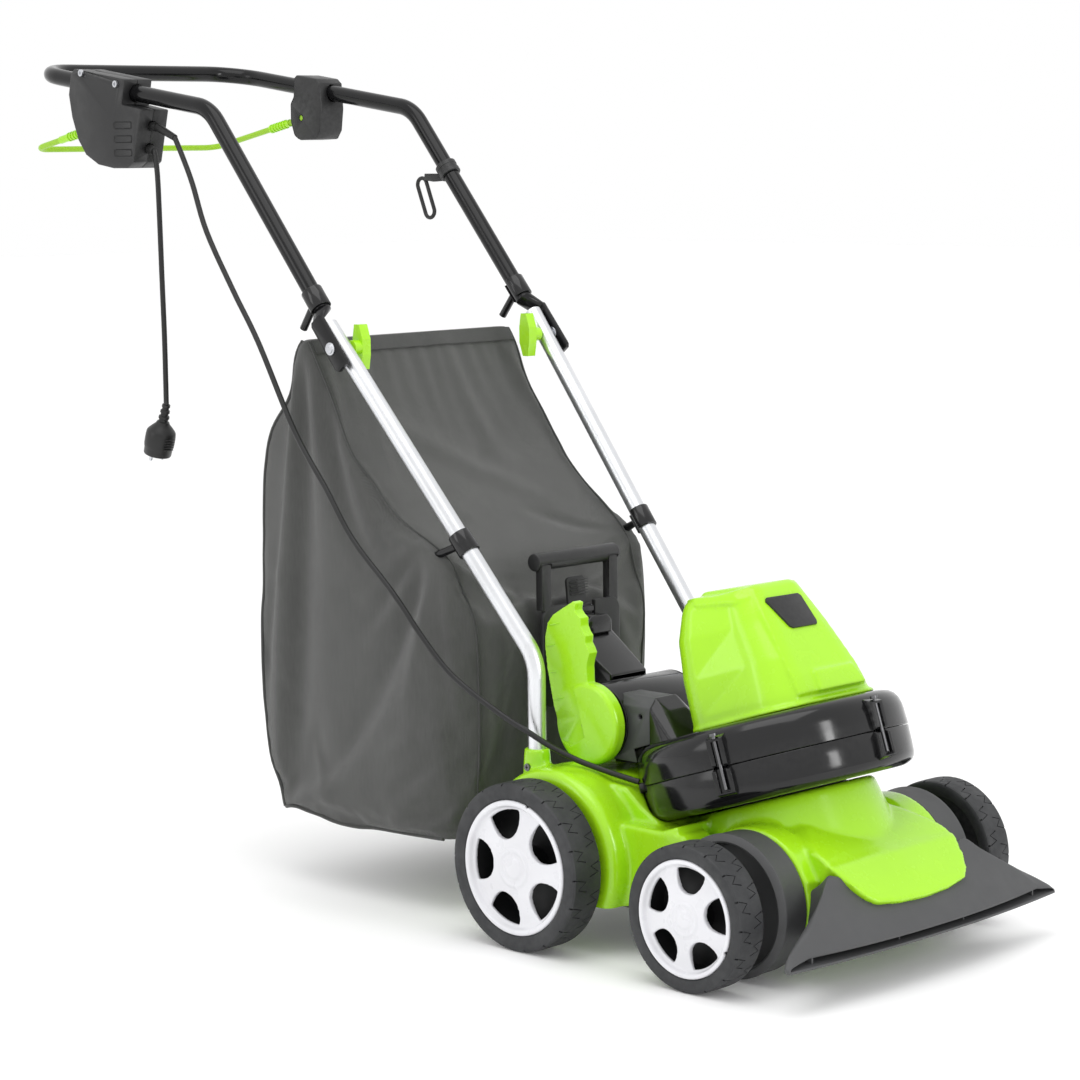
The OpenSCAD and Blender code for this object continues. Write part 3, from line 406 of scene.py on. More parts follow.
def tube_mesh(points, radii, sides=16, capped=True):
    """Vertices and faces of a round tube along points; radii is one number or a list."""
    points = [Vector(p) for p in points]
    if not hasattr(radii, "__len__"):
        radii = [radii] * len(points)
    verts = []
    for point, radius, (side, other) in zip(points, radii, frame_along(points)):
        for k in range(sides):
            turn = 2 * math.pi * k / sides
            verts.append(point + radius * (math.cos(turn) * side + math.sin(turn) * other))
    faces = skin(len(points), sides)
    return verts, faces + end_caps(len(points), sides) if capped else faces


def curve_through(points, steps, kind=Vector):
    """Catmull-Rom points between the given ones; kind turns each into something that adds."""
    points = [kind(p) for p in points]
    last = len(points) - 1
    out = []
    for i in range(last):
        p0, p1, p2, p3 = (points[max(i - 1, 0)], points[i], points[i + 1], points[min(i + 2, last)])
        for s in range(steps):
            t = s / steps
            out.append(0.5 * (2 * p1 + (p2 - p0) * t + (2 * p0 - 5 * p1 + 4 * p2 - p3) * t * t
                              + (3 * p1 - p0 - 3 * p2 + p3) * t ** 3))
    return out + [points[-1]]


def path_length(points):
    return sum((Vector(b) - Vector(a)).length for a, b in zip(points, points[1:]))


# ---- cords -----------------------------------------------------------------------
CORD_R = 0.0035
BLEND_START, BLEND_END = (-0.219, 0.100, 0.560), (-0.207, 0.240, 0.750)
MAINS_ROUTE = [(-0.180, 0.431, 0.937), (-0.183, 0.424, 0.920), (-0.186, 0.418, 0.896),
               (-0.188, 0.414, 0.848), (-0.189, 0.411, 0.770), (-0.189, 0.409, 0.690),
               (-0.189, 0.409, 0.604)]
MOTOR_ROUTE = [(-0.180, 0.388, 0.953), (-0.184, 0.368, 0.928), (-0.190, 0.342, 0.893),
               (-0.198, 0.306, 0.832), (-0.206, 0.246, 0.758), (-0.212, 0.192, 0.694),
               (-0.218, 0.120, 0.587), (-0.220, 0.062, 0.520), (-0.220, 0.014, 0.460),
               (-0.216, -0.052, 0.400), (-0.210, -0.100, 0.346), (-0.204, -0.136, 0.310),
               (-0.197, -0.176, 0.284), (-0.187, -0.216, 0.261), (-0.178, -0.244, 0.246),
               (-0.166, -0.270, 0.230), (-0.151, -0.300, 0.215), (-0.138, -0.340, 0.204),
               (-0.132, -0.363, 0.199), (-0.127, -0.375, 0.196)]


def lathe(name, profile, origin, axis, slot, body, replaces=(), sides=64, smooth=35, closed=False):
    """A turned piece: profile is (distance along axis, radius) in mm from origin in m."""
    verts = turn_rings(profile, origin, axis, sides, MM)
    piece = add_piece(name, verts, skin(len(profile), sides, closed), slot, None, (), smooth)
    work = bmesh.new()
    work.from_mesh(piece.data)
    bmesh.ops.remove_doubles(work, verts=work.verts, dist=1e-6)
    bmesh.ops.recalc_face_normals(work, faces=work.faces)
    work.to_mesh(piece.data)
    work.free()
    return dress(piece, slot, body, replaces, smooth)


def held_by(child, parent):
    child.parent = parent
    child.matrix_parent_inverse = parent.matrix_world.inverted()


def make_cords():
    """The mains lead with its plug, and the motor lead that crosses the handle's pivot."""
    mains = curve_through(MAINS_ROUTE, 5)
    verts, faces = tube_mesh(mains, CORD_R)
    mains_piece = add_piece("mains_cord", verts, faces, "lead_sheath", "handle", ["mains_lead"])

    end = Vector(MAINS_ROUTE[-1])
    lean = math.radians(18)
    down = Vector((0, math.sin(lean), -math.cos(lean)))
    neck = [(0, 0), (0, 5.4), (3, 5.6), (4, 4.6), (7, 4.6), (8, 6.2), (11, 6.4), (12, 5.2), (15, 5.2),
            (16, 7.0), (19, 7.3), (20, 6.2), (23, 6.2), (24, 8.2), (27, 9.5), (31, 13.5), (36, 18),
            (38, 19.2), (43, 19.9), (50, 20), (56, 19.9), (60, 19.2), (61, 18.7), (69, 18.4), (70, 17.8),
            (70, 16.6), (69.5, 16.2), (62.5, 16), (62, 15.6), (62, 0)]
    plug = lathe("plug_body", neck, end, down, "lead_sheath", "handle", ["plug"], sides=48)
    across = Vector((1, 0, 0))
    for k, sign in enumerate((-1, 1)):
        held_by(lathe("plug_pin_%d" % k, [(60, 0), (60, 2.4), (76.5, 2.4), (78.2, 1.9), (79, 1.0), (79, 0)],
                      end + across * sign * 9.5 * MM, down, "zinc_steel", None, sides=20), plug)
    for k, sign in enumerate((-1, 1)):
        centre = end + down * 50 * MM + across.cross(down) * sign * 20.2 * MM
        for j in range(5):
            middle = centre + down * (j - 2) * 3.6 * MM
            line = [middle + across * x * MM for x in (-8, 0, 8)]
            rib = tube_mesh(line, [0.0006, 0.001, 0.0006], 8)
            held_by(add_piece("plug_grip_%d_%d" % (k, j), *rib, "lead_sheath", None), plug)
    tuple(mains[0])
    path_length(mains)

    motor = curve_through(MOTOR_ROUTE, 6)
    verts, faces = tube_mesh(motor, CORD_R)
    motor_piece = add_piece("motor_cord", verts, faces, "lead_sheath", None,
                            ["motor_lead_upper", "motor_lead_lower"])
    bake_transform(motor_piece)
    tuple(BLEND_START)
    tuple(BLEND_END)
    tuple(motor[0])
    path_length(motor)


make_cords()


# ---- moulded bodies ----------------------------------------------------------------
def hull(points):
    """Vertices and faces of the convex shape round points, in mm."""
    work = bmesh.new()
    for p in points:
        work.verts.new(p)
    out = bmesh.ops.convex_hull(work, input=work.verts)
    spare = {v for v in out["geom_interior"] + out["geom_unused"] if isinstance(v, bmesh.types.BMVert)}
    bmesh.ops.delete(work, geom=list(spare), context="VERTS")
    work.verts.index_update()
    verts = [v.co.copy() for v in work.verts]
    faces = [[v.index for v in f.verts] for f in work.faces]
    work.free()
    return verts, faces


def prism(outline, x0, x1):
    """A (y, z) outline in mm, pushed from x0 to x1."""
    return [Vector((x, y, z)) for x in (x0, x1) for y, z in outline], prism_faces(len(outline))


def turned(profile, origin, axis, sides=72, closed=False):
    """A turned solid, all in mm; its profile starts and ends on the axis, or is closed."""
    rings = len(profile)
    faces = skin(rings, sides, closed)
    return turn_rings(profile, origin, axis, sides), faces if closed else faces + end_caps(rings, sides)


def flipped(part):
    """The same solid on the other side of the machine."""
    return [Vector((-v[0], v[1], v[2])) for v in part[0]], [list(reversed(f)) for f in part[1]]


def merged(name, parts):
    """One object with all parts, each with its faces outward."""
    mesh = bpy.data.meshes.new(name)
    work = bmesh.new()
    for verts, faces in parts:
        fresh = bmesh.new()
        made = [fresh.verts.new(Vector(v) * MM) for v in verts]
        for f in faces:
            if len(set(f)) > 2:
                fresh.faces.new([made[i] for i in f])
        bmesh.ops.remove_doubles(fresh, verts=fresh.verts, dist=1e-7)
        bmesh.ops.recalc_face_normals(fresh, faces=fresh.faces)
        part = bpy.data.meshes.new("part")
        fresh.to_mesh(part)
        fresh.free()
        work.from_mesh(part)
        bpy.data.meshes.remove(part)
    work.to_mesh(mesh)
    work.free()
    return linked(name, mesh)


def cut(piece, parts):
    """Takes solids away from a piece."""
    tool = merged("tool", parts)
    bake(piece, ("BOOLEAN", dict(operation="DIFFERENCE", object=tool, solver="EXACT",
                                 use_self=True, use_hole_tolerant=True)))
    bpy.data.objects.remove(tool)
    return piece


def melt(piece, voxel, passes):
    """Remeshes a piece in voxels of that many mm and smooths it."""
    bake(piece, ("REMESH", dict(mode="VOXEL", voxel_size=voxel * MM)),
         ("SMOOTH", dict(factor=0.5, iterations=passes)))


def rounded(piece, width, segments=3, angle=32):
    """Rounds a piece's sharp edges, in mm."""
    return bake(piece, ("BEVEL", dict(width=width * MM, segments=segments, limit_method="ANGLE",
                                      angle_limit=math.radians(angle), use_clamp_overlap=True)))


def meld(name, parts, voxel, passes, slot, body, replaces=(), cuts=(), late_cuts=()):
    """Solids melted into one moulding: their shared corners become small fillets."""
    piece = merged(name, parts)
    if cuts:
        cut(piece, cuts)
    melt(piece, voxel, passes)
    if late_cuts:
        cut(piece, late_cuts)
    return dress(piece, slot, body, replaces, 50)


TILT = math.radians(18)
FAN_AXIS = Vector((0, math.sin(TILT), math.cos(TILT)))
FAN_BACK = Vector((0, math.cos(TILT), -math.sin(TILT)))
FAN_FLOOR = Vector((0, -490, 178))
FAN_R = 160
FRONT_HUB, REAR_HUB = (0, -552, 84), (0, -286, 100)
SOCKET_FOOT = (149, -230, 0)
X_AXIS, Z_AXIS = (1, 0, 0), (0, 0, 1)


def fan(x, y, z):
    """A point given in the fan's own frame, in mm, as a point of the machine's frame."""
    return FAN_FLOOR + Vector((x, 0, 0)) + FAN_BACK * y + FAN_AXIS * z


def under_fan(y):
    """The height just below the drum at y."""
    return 169 - (y + 490) * math.tan(TILT)


def make_deck():
    """The deck, its wheel arches, tube sockets and the tongue over the nozzle, as one moulding."""
    core = prism([(-190, 56), (-190, 150), (-204, 172), (-225, 178), (-300, 176), (-340, 120),
                  (-466, under_fan(-466)), (-466, 56)], -162, 162)
    skirt = prism([(-300, 56), (-300, 153), (-478, 153), (-484, 146), (-484, 56)], 120, 166)
    saddle = prism([(-204, 100), (-204, 170), (-228, 190), (-320, 197), (-366, 190), (-392, 170),
                    (-430, 150), (-430, 100)], -142, 142)
    lobe = turned([(120, 0), (120, 106), (128, 108), (181, 108), (188, 105), (192, 99), (193, 0)],
                  REAR_HUB, X_AXIS)
    base = prism([(-500, 56), (-500, 150), (-552, 150), (-600, 140), (-632, 118), (-634, 56)], -131, 131)
    brow = turned([(92, 0), (92, 78), (98, 84.5), (132, 84.5), (132, 0)], FRONT_HUB, X_AXIS)
    panel = hull([(s * w, y, z) for s in (-1, 1) for w, y, z in
                  ((84, -470, 172), (84, -470, 120), (66, -548, 172), (66, -552, 120), (84, -592, 164),
                   (106, -624, 150), (114, -642, 141), (114, -650, 134), (114, -646, 112))])
    tongue_top = [(112, -622, 148, -3), (114, -640, 141.5, -0.6), (115, -653, 133, 1.6),
                  (104, -672, 115.5, 2.4), (94, -685, 103, 2.4), (82, -693, 95.5, 2.4),
                  (44, -698, 91, 2.4), (0, -699.5, 89.5, 2.4)]
    ring = [(-x, y, z, h) for x, y, z, h in tongue_top[:-1]] + tongue_top[::-1]
    mid = [(0, -622, 148, 0), (0, -641, 141.5, 0), (0, -655, 133.5, 2.4), (0, -674, 115.5, 3.2),
           (0, -687, 102, 3.0)]
    top = [Vector((x, y - 0.75 * h, z + 0.66 * h)) for x, y, z, h in ring + mid]
    tongue = hull(top + [Vector((x * 0.99, y + 5, z - 5)) for x, y, z, h in ring])
    neck = turned([(-78, 0), (-78, 126), (-66, 121), (-6, 108), (-2, 104), (-2, 0)], FAN_FLOOR, FAN_AXIS)
    socket = turned([(128, 0), (128, 19), (196, 17), (216, 15.8), (221, 15.2), (221, 0)],
                    SOCKET_FOOT, Z_AXIS, 40)
    fin = prism([(-272, 150), (-262, 200), (-236, 208), (-212, 204), (-204, 150)], 145, 153)
    parts = [core, base, panel, tongue, neck, saddle]
    for part in (skirt, lobe, brow, socket, fin):
        parts += [part, flipped(part)]
    drum = turned([(-0.6, 0), (-0.6, FAN_R - 13), (5, FAN_R - 3), (13, FAN_R + 1.2), (120, FAN_R + 1.2),
                   (120, 0)], FAN_FLOOR, FAN_AXIS, 96)
    ground = hull([(x, y, z) for x in (-400, 400) for y in (-900, 0) for z in (-200, 56)])
    bore = turned([(175, 0), (175, 11.1), (260, 11.1), (260, 0)], SOCKET_FOOT, Z_AXIS, 40)
    meld("deck", parts, 2.6, 7, "lime_plastic", "machine", ["deck_shell"],
         cuts=[drum], late_cuts=[ground, bore, flipped(bore)])


def make_nozzle():
    """A flared skirt, lofted from the hood to the lip, then back inside as a thin wall."""
    # half width at the top and at the bottom, y at the corner, y in the middle, top z, bottom z,
    # corner radius, sag of the middle
    keys = [(127, 130, -628, -632, 105, 52, 7, 0), (125, 136, -644, -650, 117, 52, 6, 2),
            (127, 146, -658, -664, 130, 52, 6, 10), (144, 172, -667, -673, 117, 52, 6, 8),
            (168, 206, -677, -686, 101, 52, 6, 4), (190, 234, -687, -700, 86, 50, 5, 2),
            (204, 246, -694, -710, 73, 49, 4, 1), (214, 247, -701, -718, 61.5, 48, 1.2, 0)]
    rows = curve_through(keys, 4, lambda row: np.array(row, float))
    columns, sides, arc = 28, 6, 4

    def loop(row, inset):
        w, w_low, y_corner, y_mid, top, low, reach, sag = row
        w, w_low, top, low = w - inset, w_low - inset, top - inset, low + inset
        half = []
        for k in range(columns // 2 + 1):
            a = k / (columns // 2) * (1 - reach / w)
            half.append((a * w, y_mid + (y_corner - y_mid) * a ** 2.2, top - sag * (1 - a ** 5)))
        start, corner = Vector(half[-1]), Vector((w, y_corner, top))
        end = Vector((w + (w_low - w) * 0.2, y_corner, top - reach))
        for k in range(1, arc + 1):
            t = k / arc
            half.append(tuple((1 - t) ** 2 * start + 2 * t * (1 - t) * corner + t * t * end))
        for k in range(1, sides):
            t = k / sides
            bulge = 0.2 + 0.8 * math.sin(min(1.0, 1.3 * t) * math.pi / 2)
            half.append((w + (w_low - w) * bulge, y_corner - 2 * t, top - reach + (low - top + reach) * t))
        for k in range(columns // 2 + 1):
            a = 1 - k / (columns // 2)
            half.append((a * w_low, y_mid + (y_corner - 2 - y_mid) * a ** 2.2, low))
        return half + [(-x, y, z) for x, y, z in half[-2:0:-1]]

    outer = [loop(r, 0) for r in rows]
    inner = [loop(r, 2.6) for r in reversed(rows[4:])]
    rings = outer + inner
    n = len(rings[0])
    verts = [p for ring in rings for p in ring]
    piece = merged("nozzle_skirt", [(verts, skin(len(rings), n) + end_caps(len(rings), n))])
    rounded(piece, 0.9, 2, 40)
    dress(piece, "grey_plastic", "machine", ["intake_nozzle"], 38)
    for x in (-205, -60, 60, 205):
        y = -704 - 12 * (1 - abs(x) / 247)
        rib = hull([(x + dx, y + dy, z) for dx in (-1.2, 1.2) for dy in (6, 28) for z in (50, 59)])
        stay = merged("nozzle_rib_%d" % (x + 300), [rib])
        dress(stay, "grey_plastic", "machine")


# ---- wheels ---------------------------------------------------------------------
def window_outline(r):
    """A petal: a round end towards the hub, and corners that meet the rim's inner arc."""
    side = []
    for k in range(13):
        t = k / 12
        c = ((1 - t) ** 3, 3 * t * (1 - t) ** 2, 3 * t * t * (1 - t), t ** 3)
        side.append(((0.640 * c[0] + 0.55 * c[1] + 0.345 * c[2] + 0.345 * c[3]) * r,
                     (0.248 * c[0] + 0.238 * c[1] + 0.195 * c[2]) * r))
    reach, half = math.hypot(0.640, 0.248) * r, math.atan2(0.248, 0.640)
    arc = [(reach * math.cos(half * k / 5), reach * math.sin(half * k / 5)) for k in range(-4, 5)]
    return arc + side + [(u, -v) for u, v in side[-2::-1]]


def make_wheel(name, side, y, r, width):
    """A pressed cover with five windows over a barrel and back dish painted black as the shade behind the
    windows, in a tyre with zig-zag sipes.
    """
    body = "wheel_" + name
    w = width
    axis = Vector((side, 0, 0))
    centre = Vector((side * (250 - w), y, r))
    front = [(w + 0.6, 0), (w + 0.6, 0.115 * r), (w - 1.2, 0.135 * r), (w - 1.4, 0.185 * r), (w, 0.20 * r),
             (w - 0.4, 0.225 * r), (w - 2.0, 0.245 * r), (w - 2.4, 0.31 * r), (w - 3.6, 0.40 * r),
             (w - 5.4, 0.52 * r), (w - 6.8, 0.62 * r), (w - 7.0, 0.69 * r), (w - 5.6, 0.715 * r),
             (w - 1.6, 0.735 * r), (w - 0.2, 0.75 * r), (w, 0.775 * r), (w - 0.8, 0.80 * r), (w - 5, 0.808 * r),
             (w - 5, 0.76 * r), (w - 11, 0.72 * r), (w - 12, 0.52 * r), (w - 9, 0.30 * r), (w - 9, 0)]
    cover = merged("rim_" + name, [turned(front, centre, axis, 160)])
    up = Vector((0, 0, 1))
    across = axis.cross(up)
    tools = []
    window = window_outline(r)
    base = 72.5 if r > 90 else 96
    for k in range(5):
        turn = math.radians(base + 72 * k)
        pts = [(u * math.cos(turn) - v * math.sin(turn), u * math.sin(turn) + v * math.cos(turn))
               for u, v in window]
        verts = [centre + axis * d + across * u + up * v for d in (-5, w + 8) for u, v in pts]
        tools.append((verts, prism_faces(len(pts))))
    notch_at = math.radians(107 if r > 90 else 204.4)
    out = across * math.cos(notch_at) + up * math.sin(notch_at)
    round_to = axis.cross(out)
    c = centre + axis * (w - 2) + out * 0.81 * r
    tools.append(hull([c + axis * a + out * b + round_to * d
                       for a in (-9, 6) for b in (-3.2, 6) for d in (-1.8, 1.8)]))
    cut(cover, tools)
    melt(cover, 1.15, 5)
    dress(cover, "white_cover", body, ["rim_" + name], 60)
    # A black barrel and a back dish closing the cover's windows: painted shade, standing in for the dark space
    # behind the open windows
    lathe("rim_barrel_and_shade_dish_" + name, [(4, 12), (4, 0.80 * r), (w - 8, 0.80 * r), (w - 8, 0.76 * r),
                               (w - 13, 0.735 * r), (8, 0.70 * r), (8, 0.2 * r), (w - 11, 0.17 * r)],
          centre * MM, axis, "rim_shade_black", body, sides=64)
    make_tyre(name, body, centre, axis, r, w)


def ribbon_tool(path, half, place):
    """A thin closed wall along a path; place turns (along, round, radial) into a point."""
    left, right = [], []
    for k, (a, b) in enumerate(path):
        p, q = path[max(k - 1, 0)], path[min(k + 1, len(path) - 1)]
        d = Vector((q[0] - p[0], q[1] - p[1])).normalized()
        left.append((a - d.y * half, b + d.x * half))
        right.append((a + d.y * half, b - d.x * half))
    ring = left + right[::-1]
    return [place(a, b, h) for h in (0, 1) for a, b in ring], prism_faces(len(ring))


def make_tyre(name, body, centre, axis, r, w):
    """A ribbed shoulder and, all the way round, sipes that zig-zag across the tread."""
    up = Vector((0, 0, 1))
    across = axis.cross(up)
    profile = [(0.06 * w, 0.80 * r), (0.02 * w, 0.86 * r), (0, 0.93 * r), (0.01 * w, 0.962 * r),
               (0.03 * w, 0.982 * r), (0.07 * w, 0.996 * r), (0.14 * w, r), (0.5 * w, r + 0.2), (0.86 * w, r),
               (0.93 * w, 0.996 * r), (0.975 * w, 0.98 * r), (0.995 * w, 0.958 * r), (w, 0.925 * r),
               (w - 0.5, 0.86 * r), (w - 1.2, 0.825 * r), (w - 2.6, 0.808 * r), (w - 7, 0.80 * r)]
    tyre = merged("tyre_" + name, [turned(profile, centre, axis, 144, closed=True)])
    count = 18 if r > 90 else 16
    zig_zag = [(0.88 * w, 0), (0.60 * w, 4.0), (0.84 * w, 12.0), (0.55 * w, 16.0)]
    shoulder = [(0.90 * w, 0.0), (1.08 * w, 0.0)]
    tools = []
    for b in range(count):
        for mirror in (False, True):
            for path, half, floor in ((zig_zag, 0.8, r - 1.5), (shoulder, 1.0, 0.966 * r)):
                def place(a, t, h):
                    turn = 2 * math.pi * (b + (0.5 if mirror else 0)) / count + t / r
                    along = w - a if mirror else a
                    reach = r + 4 if h else floor
                    return centre + axis * along + (across * math.cos(turn) + up * math.sin(turn)) * reach
                tools.append(ribbon_tool(path, half, place))
    cut(tyre, tools)
    dress(tyre, "tyre_compound", body, ["tyre_" + name], 28)


def make_wheels():
    for end, (_, y, r), width in (("front_", FRONT_HUB, 42), ("rear_", REAR_HUB, 48)):
        for hand, side in (("right", -1), ("left", 1)):
            make_wheel(end + hand, side, y, r, width)


# ---- fan drum -----------------------------------------------------------------------
def make_drum():
    """The two halves of the fan housing, their seam, the clasps and the outlet's neck."""
    lower = [(0, 70), (0, FAN_R - 15), (1.2, FAN_R - 10.5), (4.5, FAN_R - 4.5), (9, FAN_R - 1.2), (14, FAN_R),
             (44.6, FAN_R + 0.8), (45.4, FAN_R + 0.2), (45.4, FAN_R - 3), (15, FAN_R - 4), (4, FAN_R - 15),
             (4, 70)]
    lathe("drum_lower", lower, FAN_FLOOR * MM, FAN_AXIS, "black_plastic", "machine", ["fan_housing_lower"],
          sides=144, closed=True, smooth=40)
    shell = turned([(46.2, FAN_R - 4), (46.2, FAN_R + 0.2), (47, FAN_R + 1.0), (66, FAN_R + 0.2),
                    (72, FAN_R - 0.6),
                    (79, FAN_R - 2.6), (85, FAN_R - 6.5), (89.5, FAN_R - 12.5), (91.6, FAN_R - 20),
                    (92, FAN_R - 28),
                    (92, 96), (93.4, 94), (93.4, 60), (88, 60), (88, FAN_R - 26), (70, FAN_R - 6)],
                   FAN_FLOOR, FAN_AXIS, 144, closed=True)
    upper = merged("drum_upper", [shell])
    dress(upper, "black_plastic", "machine", ["fan_housing_upper"], 40)
    neck = [hull([(-99, -366, 207), (-41, -366, 207), (-99, -366, 278), (-41, -366, 278), (-88, -366, 290),
                  (-52, -366, 290), (-97, -384, 200), (-43, -384, 200), (-94, -390, 262), (-46, -390, 262),
                  (-86, -386, 276), (-54, -386, 276), (-112, -420, 205), (-30, -420, 205),
                  (-100, -418, 240), (-40, -418, 240), (-116, -448, 214), (-24, -446, 214)])]
    meld("drum_neck", neck, 1.6, 4, "black_plastic", "machine")
    for k, degrees in enumerate((199, 271, 343)):
        turn = math.radians(degrees)
        out = Vector(X_AXIS) * math.cos(turn) + FAN_BACK * math.sin(turn)
        along = Vector(X_AXIS) * -math.sin(turn) + FAN_BACK * math.cos(turn)

        def at(u, v, w):
            return FAN_FLOOR + out * u + along * v + FAN_AXIS * w

        def post(v0, v1, w0, w1, u_top):
            return hull([at(u, v, w) for u, w in ((FAN_R - 5, w0 - 2), (FAN_R - 5, w1 + 2), (u_top, w0 + 3),
                                                  (u_top, w1 - 3)) for v in (v0, v1)])

        for part, wide, low, high, lip, slot_wide, slot_low, slot_high in (
                ("upper", 10, 46, 81.5, 7, 4.5, 40, 76), ("lower", 11.5, 12, 45.4, 7.5, 6.5, 17, 50)):
            lug = merged("drum_lug_%s_%d" % (part, k), [post(-wide, wide, low, high, FAN_R + lip)])
            cut(lug, [hull([at(u, v, w) for u in (FAN_R + 2.6, FAN_R + 20) for v in (-slot_wide, slot_wide)
                            for w in (slot_low, slot_high)])])
            rounded(lug, 1.0, 3, 35)
            dress(lug, "black_plastic", "machine")


make_deck()
make_nozzle()
make_wheels()
make_drum()


# ---- collection bag ------------------------------------------------------------------
BAG_HALF = 183
BAG_SIDE = [(-122, 94), (-134, 200), (-135, 372), (-94, 438), (-58, 466), (-14, 506), (38, 556), (92, 628),
            (124, 682), (134, 700), (150, 702), (166, 668), (192, 632), (232, 590), (246, 548), (252, 430),
            (258, 300), (257, 226), (242, 165), (204, 98), (100, 82)]
BAG_CORNER = [(-186, -94), (-178, -108), (-150, -136)]


def rounded_outline(points, reach, steps=3):
    """An outline in (y, z) with each corner cut to a short curve."""
    out = []
    n = len(points)
    for i in range(n):
        p, a, b = Vector(points[i]), Vector(points[i - 1]), Vector(points[(i + 1) % n])
        cut_a = p + (a - p) * min(reach / (a - p).length, 0.45)
        cut_b = p + (b - p) * min(reach / (b - p).length, 0.45)
        for s in range(steps + 1):
            t = s / steps
            out.append((1 - t) ** 2 * cut_a + 2 * t * (1 - t) * p + t * t * cut_b)
    return [(p.x, p.y) for p in out]


def fold(place, start, end, width, height, rest):
    """A soft ridge along a line: how far the cloth stands out at each place."""
    start, end = np.array(start, float), np.array(end, float)
    span = end - start
    t = np.clip((place - start) @ span / (span @ span), 0, 1)
    away = np.linalg.norm(place - (start + t[:, None] * span), axis=1)
    taper = np.sin(np.pi * np.clip(t * 0.9 + 0.1, 0, 1)) ** 0.7
    return height * taper * np.exp(-(away / width) ** 2) * rest


# ridges in the cloth: (start, end, width, height) in mm; x is turned over for the other side panel
SIDE_FOLDS = [
    ((180, -86, 436), (183, 40, 330), 11, 5.0), ((180, -86, 436), (183, -10, 300), 9, -4.5),
    ((180, -86, 436), (183, 90, 380), 12, -4.0), ((180, -86, 436), (183, -40, 250), 8, 4.0),
    ((183, 144, 700), (183, 60, 470), 12, 4.5), ((183, 144, 700), (183, 120, 430), 14, -4.5),
    ((183, 144, 700), (183, 190, 500), 13, 4.5), ((178, -100, 236), (183, 10, 190), 9, 5.0),
    ((178, -100, 206), (183, -10, 140), 8, -5.0), ((176, -104, 400), (168, -112, 250), 7, 5.0),
    ((183, 10, 520), (180, -84, 452), 8, -6.0), ((183, -10, 470), (180, -88, 446), 6, 5.0),
    ((183, 246, 300), (183, 150, 210), 13, -4.5), ((183, 240, 420), (183, 120, 360), 15, 4.0),
    ((183, 90, 96), (183, 150, 200), 14, 4.5)]
TOP_FOLDS = [
    ((-150, 96, 640), (110, -30, 480), 17, 5), ((150, 92, 630), (-60, -20, 490), 15, -5),
    ((40, 122, 690), (70, 10, 520), 18, 4), ((-80, 116, 680), (-120, 0, 515), 14, -4)]
BACK_FOLDS = [
    ((-100, 250, 540), (30, 258, 300), 20, 6), ((120, 250, 520), (60, 258, 260), 17, -6),
    ((-40, 190, 640), (-120, 250, 480), 16, 5), ((20, 250, 430), (130, 258, 200), 18, 5)]
FRONT_FOLDS = [
    ((-160, -96, 436), (-70, -128, 392), 10, 5), ((160, -96, 436), (70, -128, 392), 10, 5),
    ((-150, -90, 450), (-60, -30, 486), 9, -5), ((150, -90, 450), (40, -30, 486), 9, -5),
    ((-130, -134, 350), (-120, -134, 150), 12, -5), ((130, -134, 350), (112, -130, 150), 12, -5),
    ((-100, -134, 230), (-40, -130, 110), 13, 5)]
CLOTH_STEPS = 24
CLOTH_CAP = 15.0


def read_points(mesh, what="co"):
    values = np.empty(len(mesh.vertices) * 3)
    mesh.vertices.foreach_get(what, values)
    return values.reshape(-1, 3)


def write_points(mesh, place):
    mesh.vertices.foreach_set("co", (place / 1000).ravel())
    mesh.update()


def bag_folds(place, normal):
    """How far each point of the bag is pushed out by its folds and sunken sides, in mm."""
    x, y, z = place.T
    side = (np.abs(normal[:, 0]) > 0.7).astype(float)
    front = (normal[:, 1] < -0.5).astype(float)
    back = (normal[:, 1] > 0.5).astype(float)
    push = np.zeros(len(place))
    for sign in (-1, 1):
        this = side * (x * sign > 0)
        for start, end, width, height in SIDE_FOLDS:
            push += fold(place, (sign * start[0], *start[1:]), (sign * end[0], *end[1:]), width, height, this)
    push -= 7 * side * np.exp(-(((y - 90) / 120) ** 2 + ((z - 330) / 190) ** 2))
    for rows, panel in ((TOP_FOLDS, front), (BACK_FOLDS, back), (FRONT_FOLDS, front)):
        for start, end, width, height in rows:
            push += fold(place, start, end, width, height, panel)
    return push


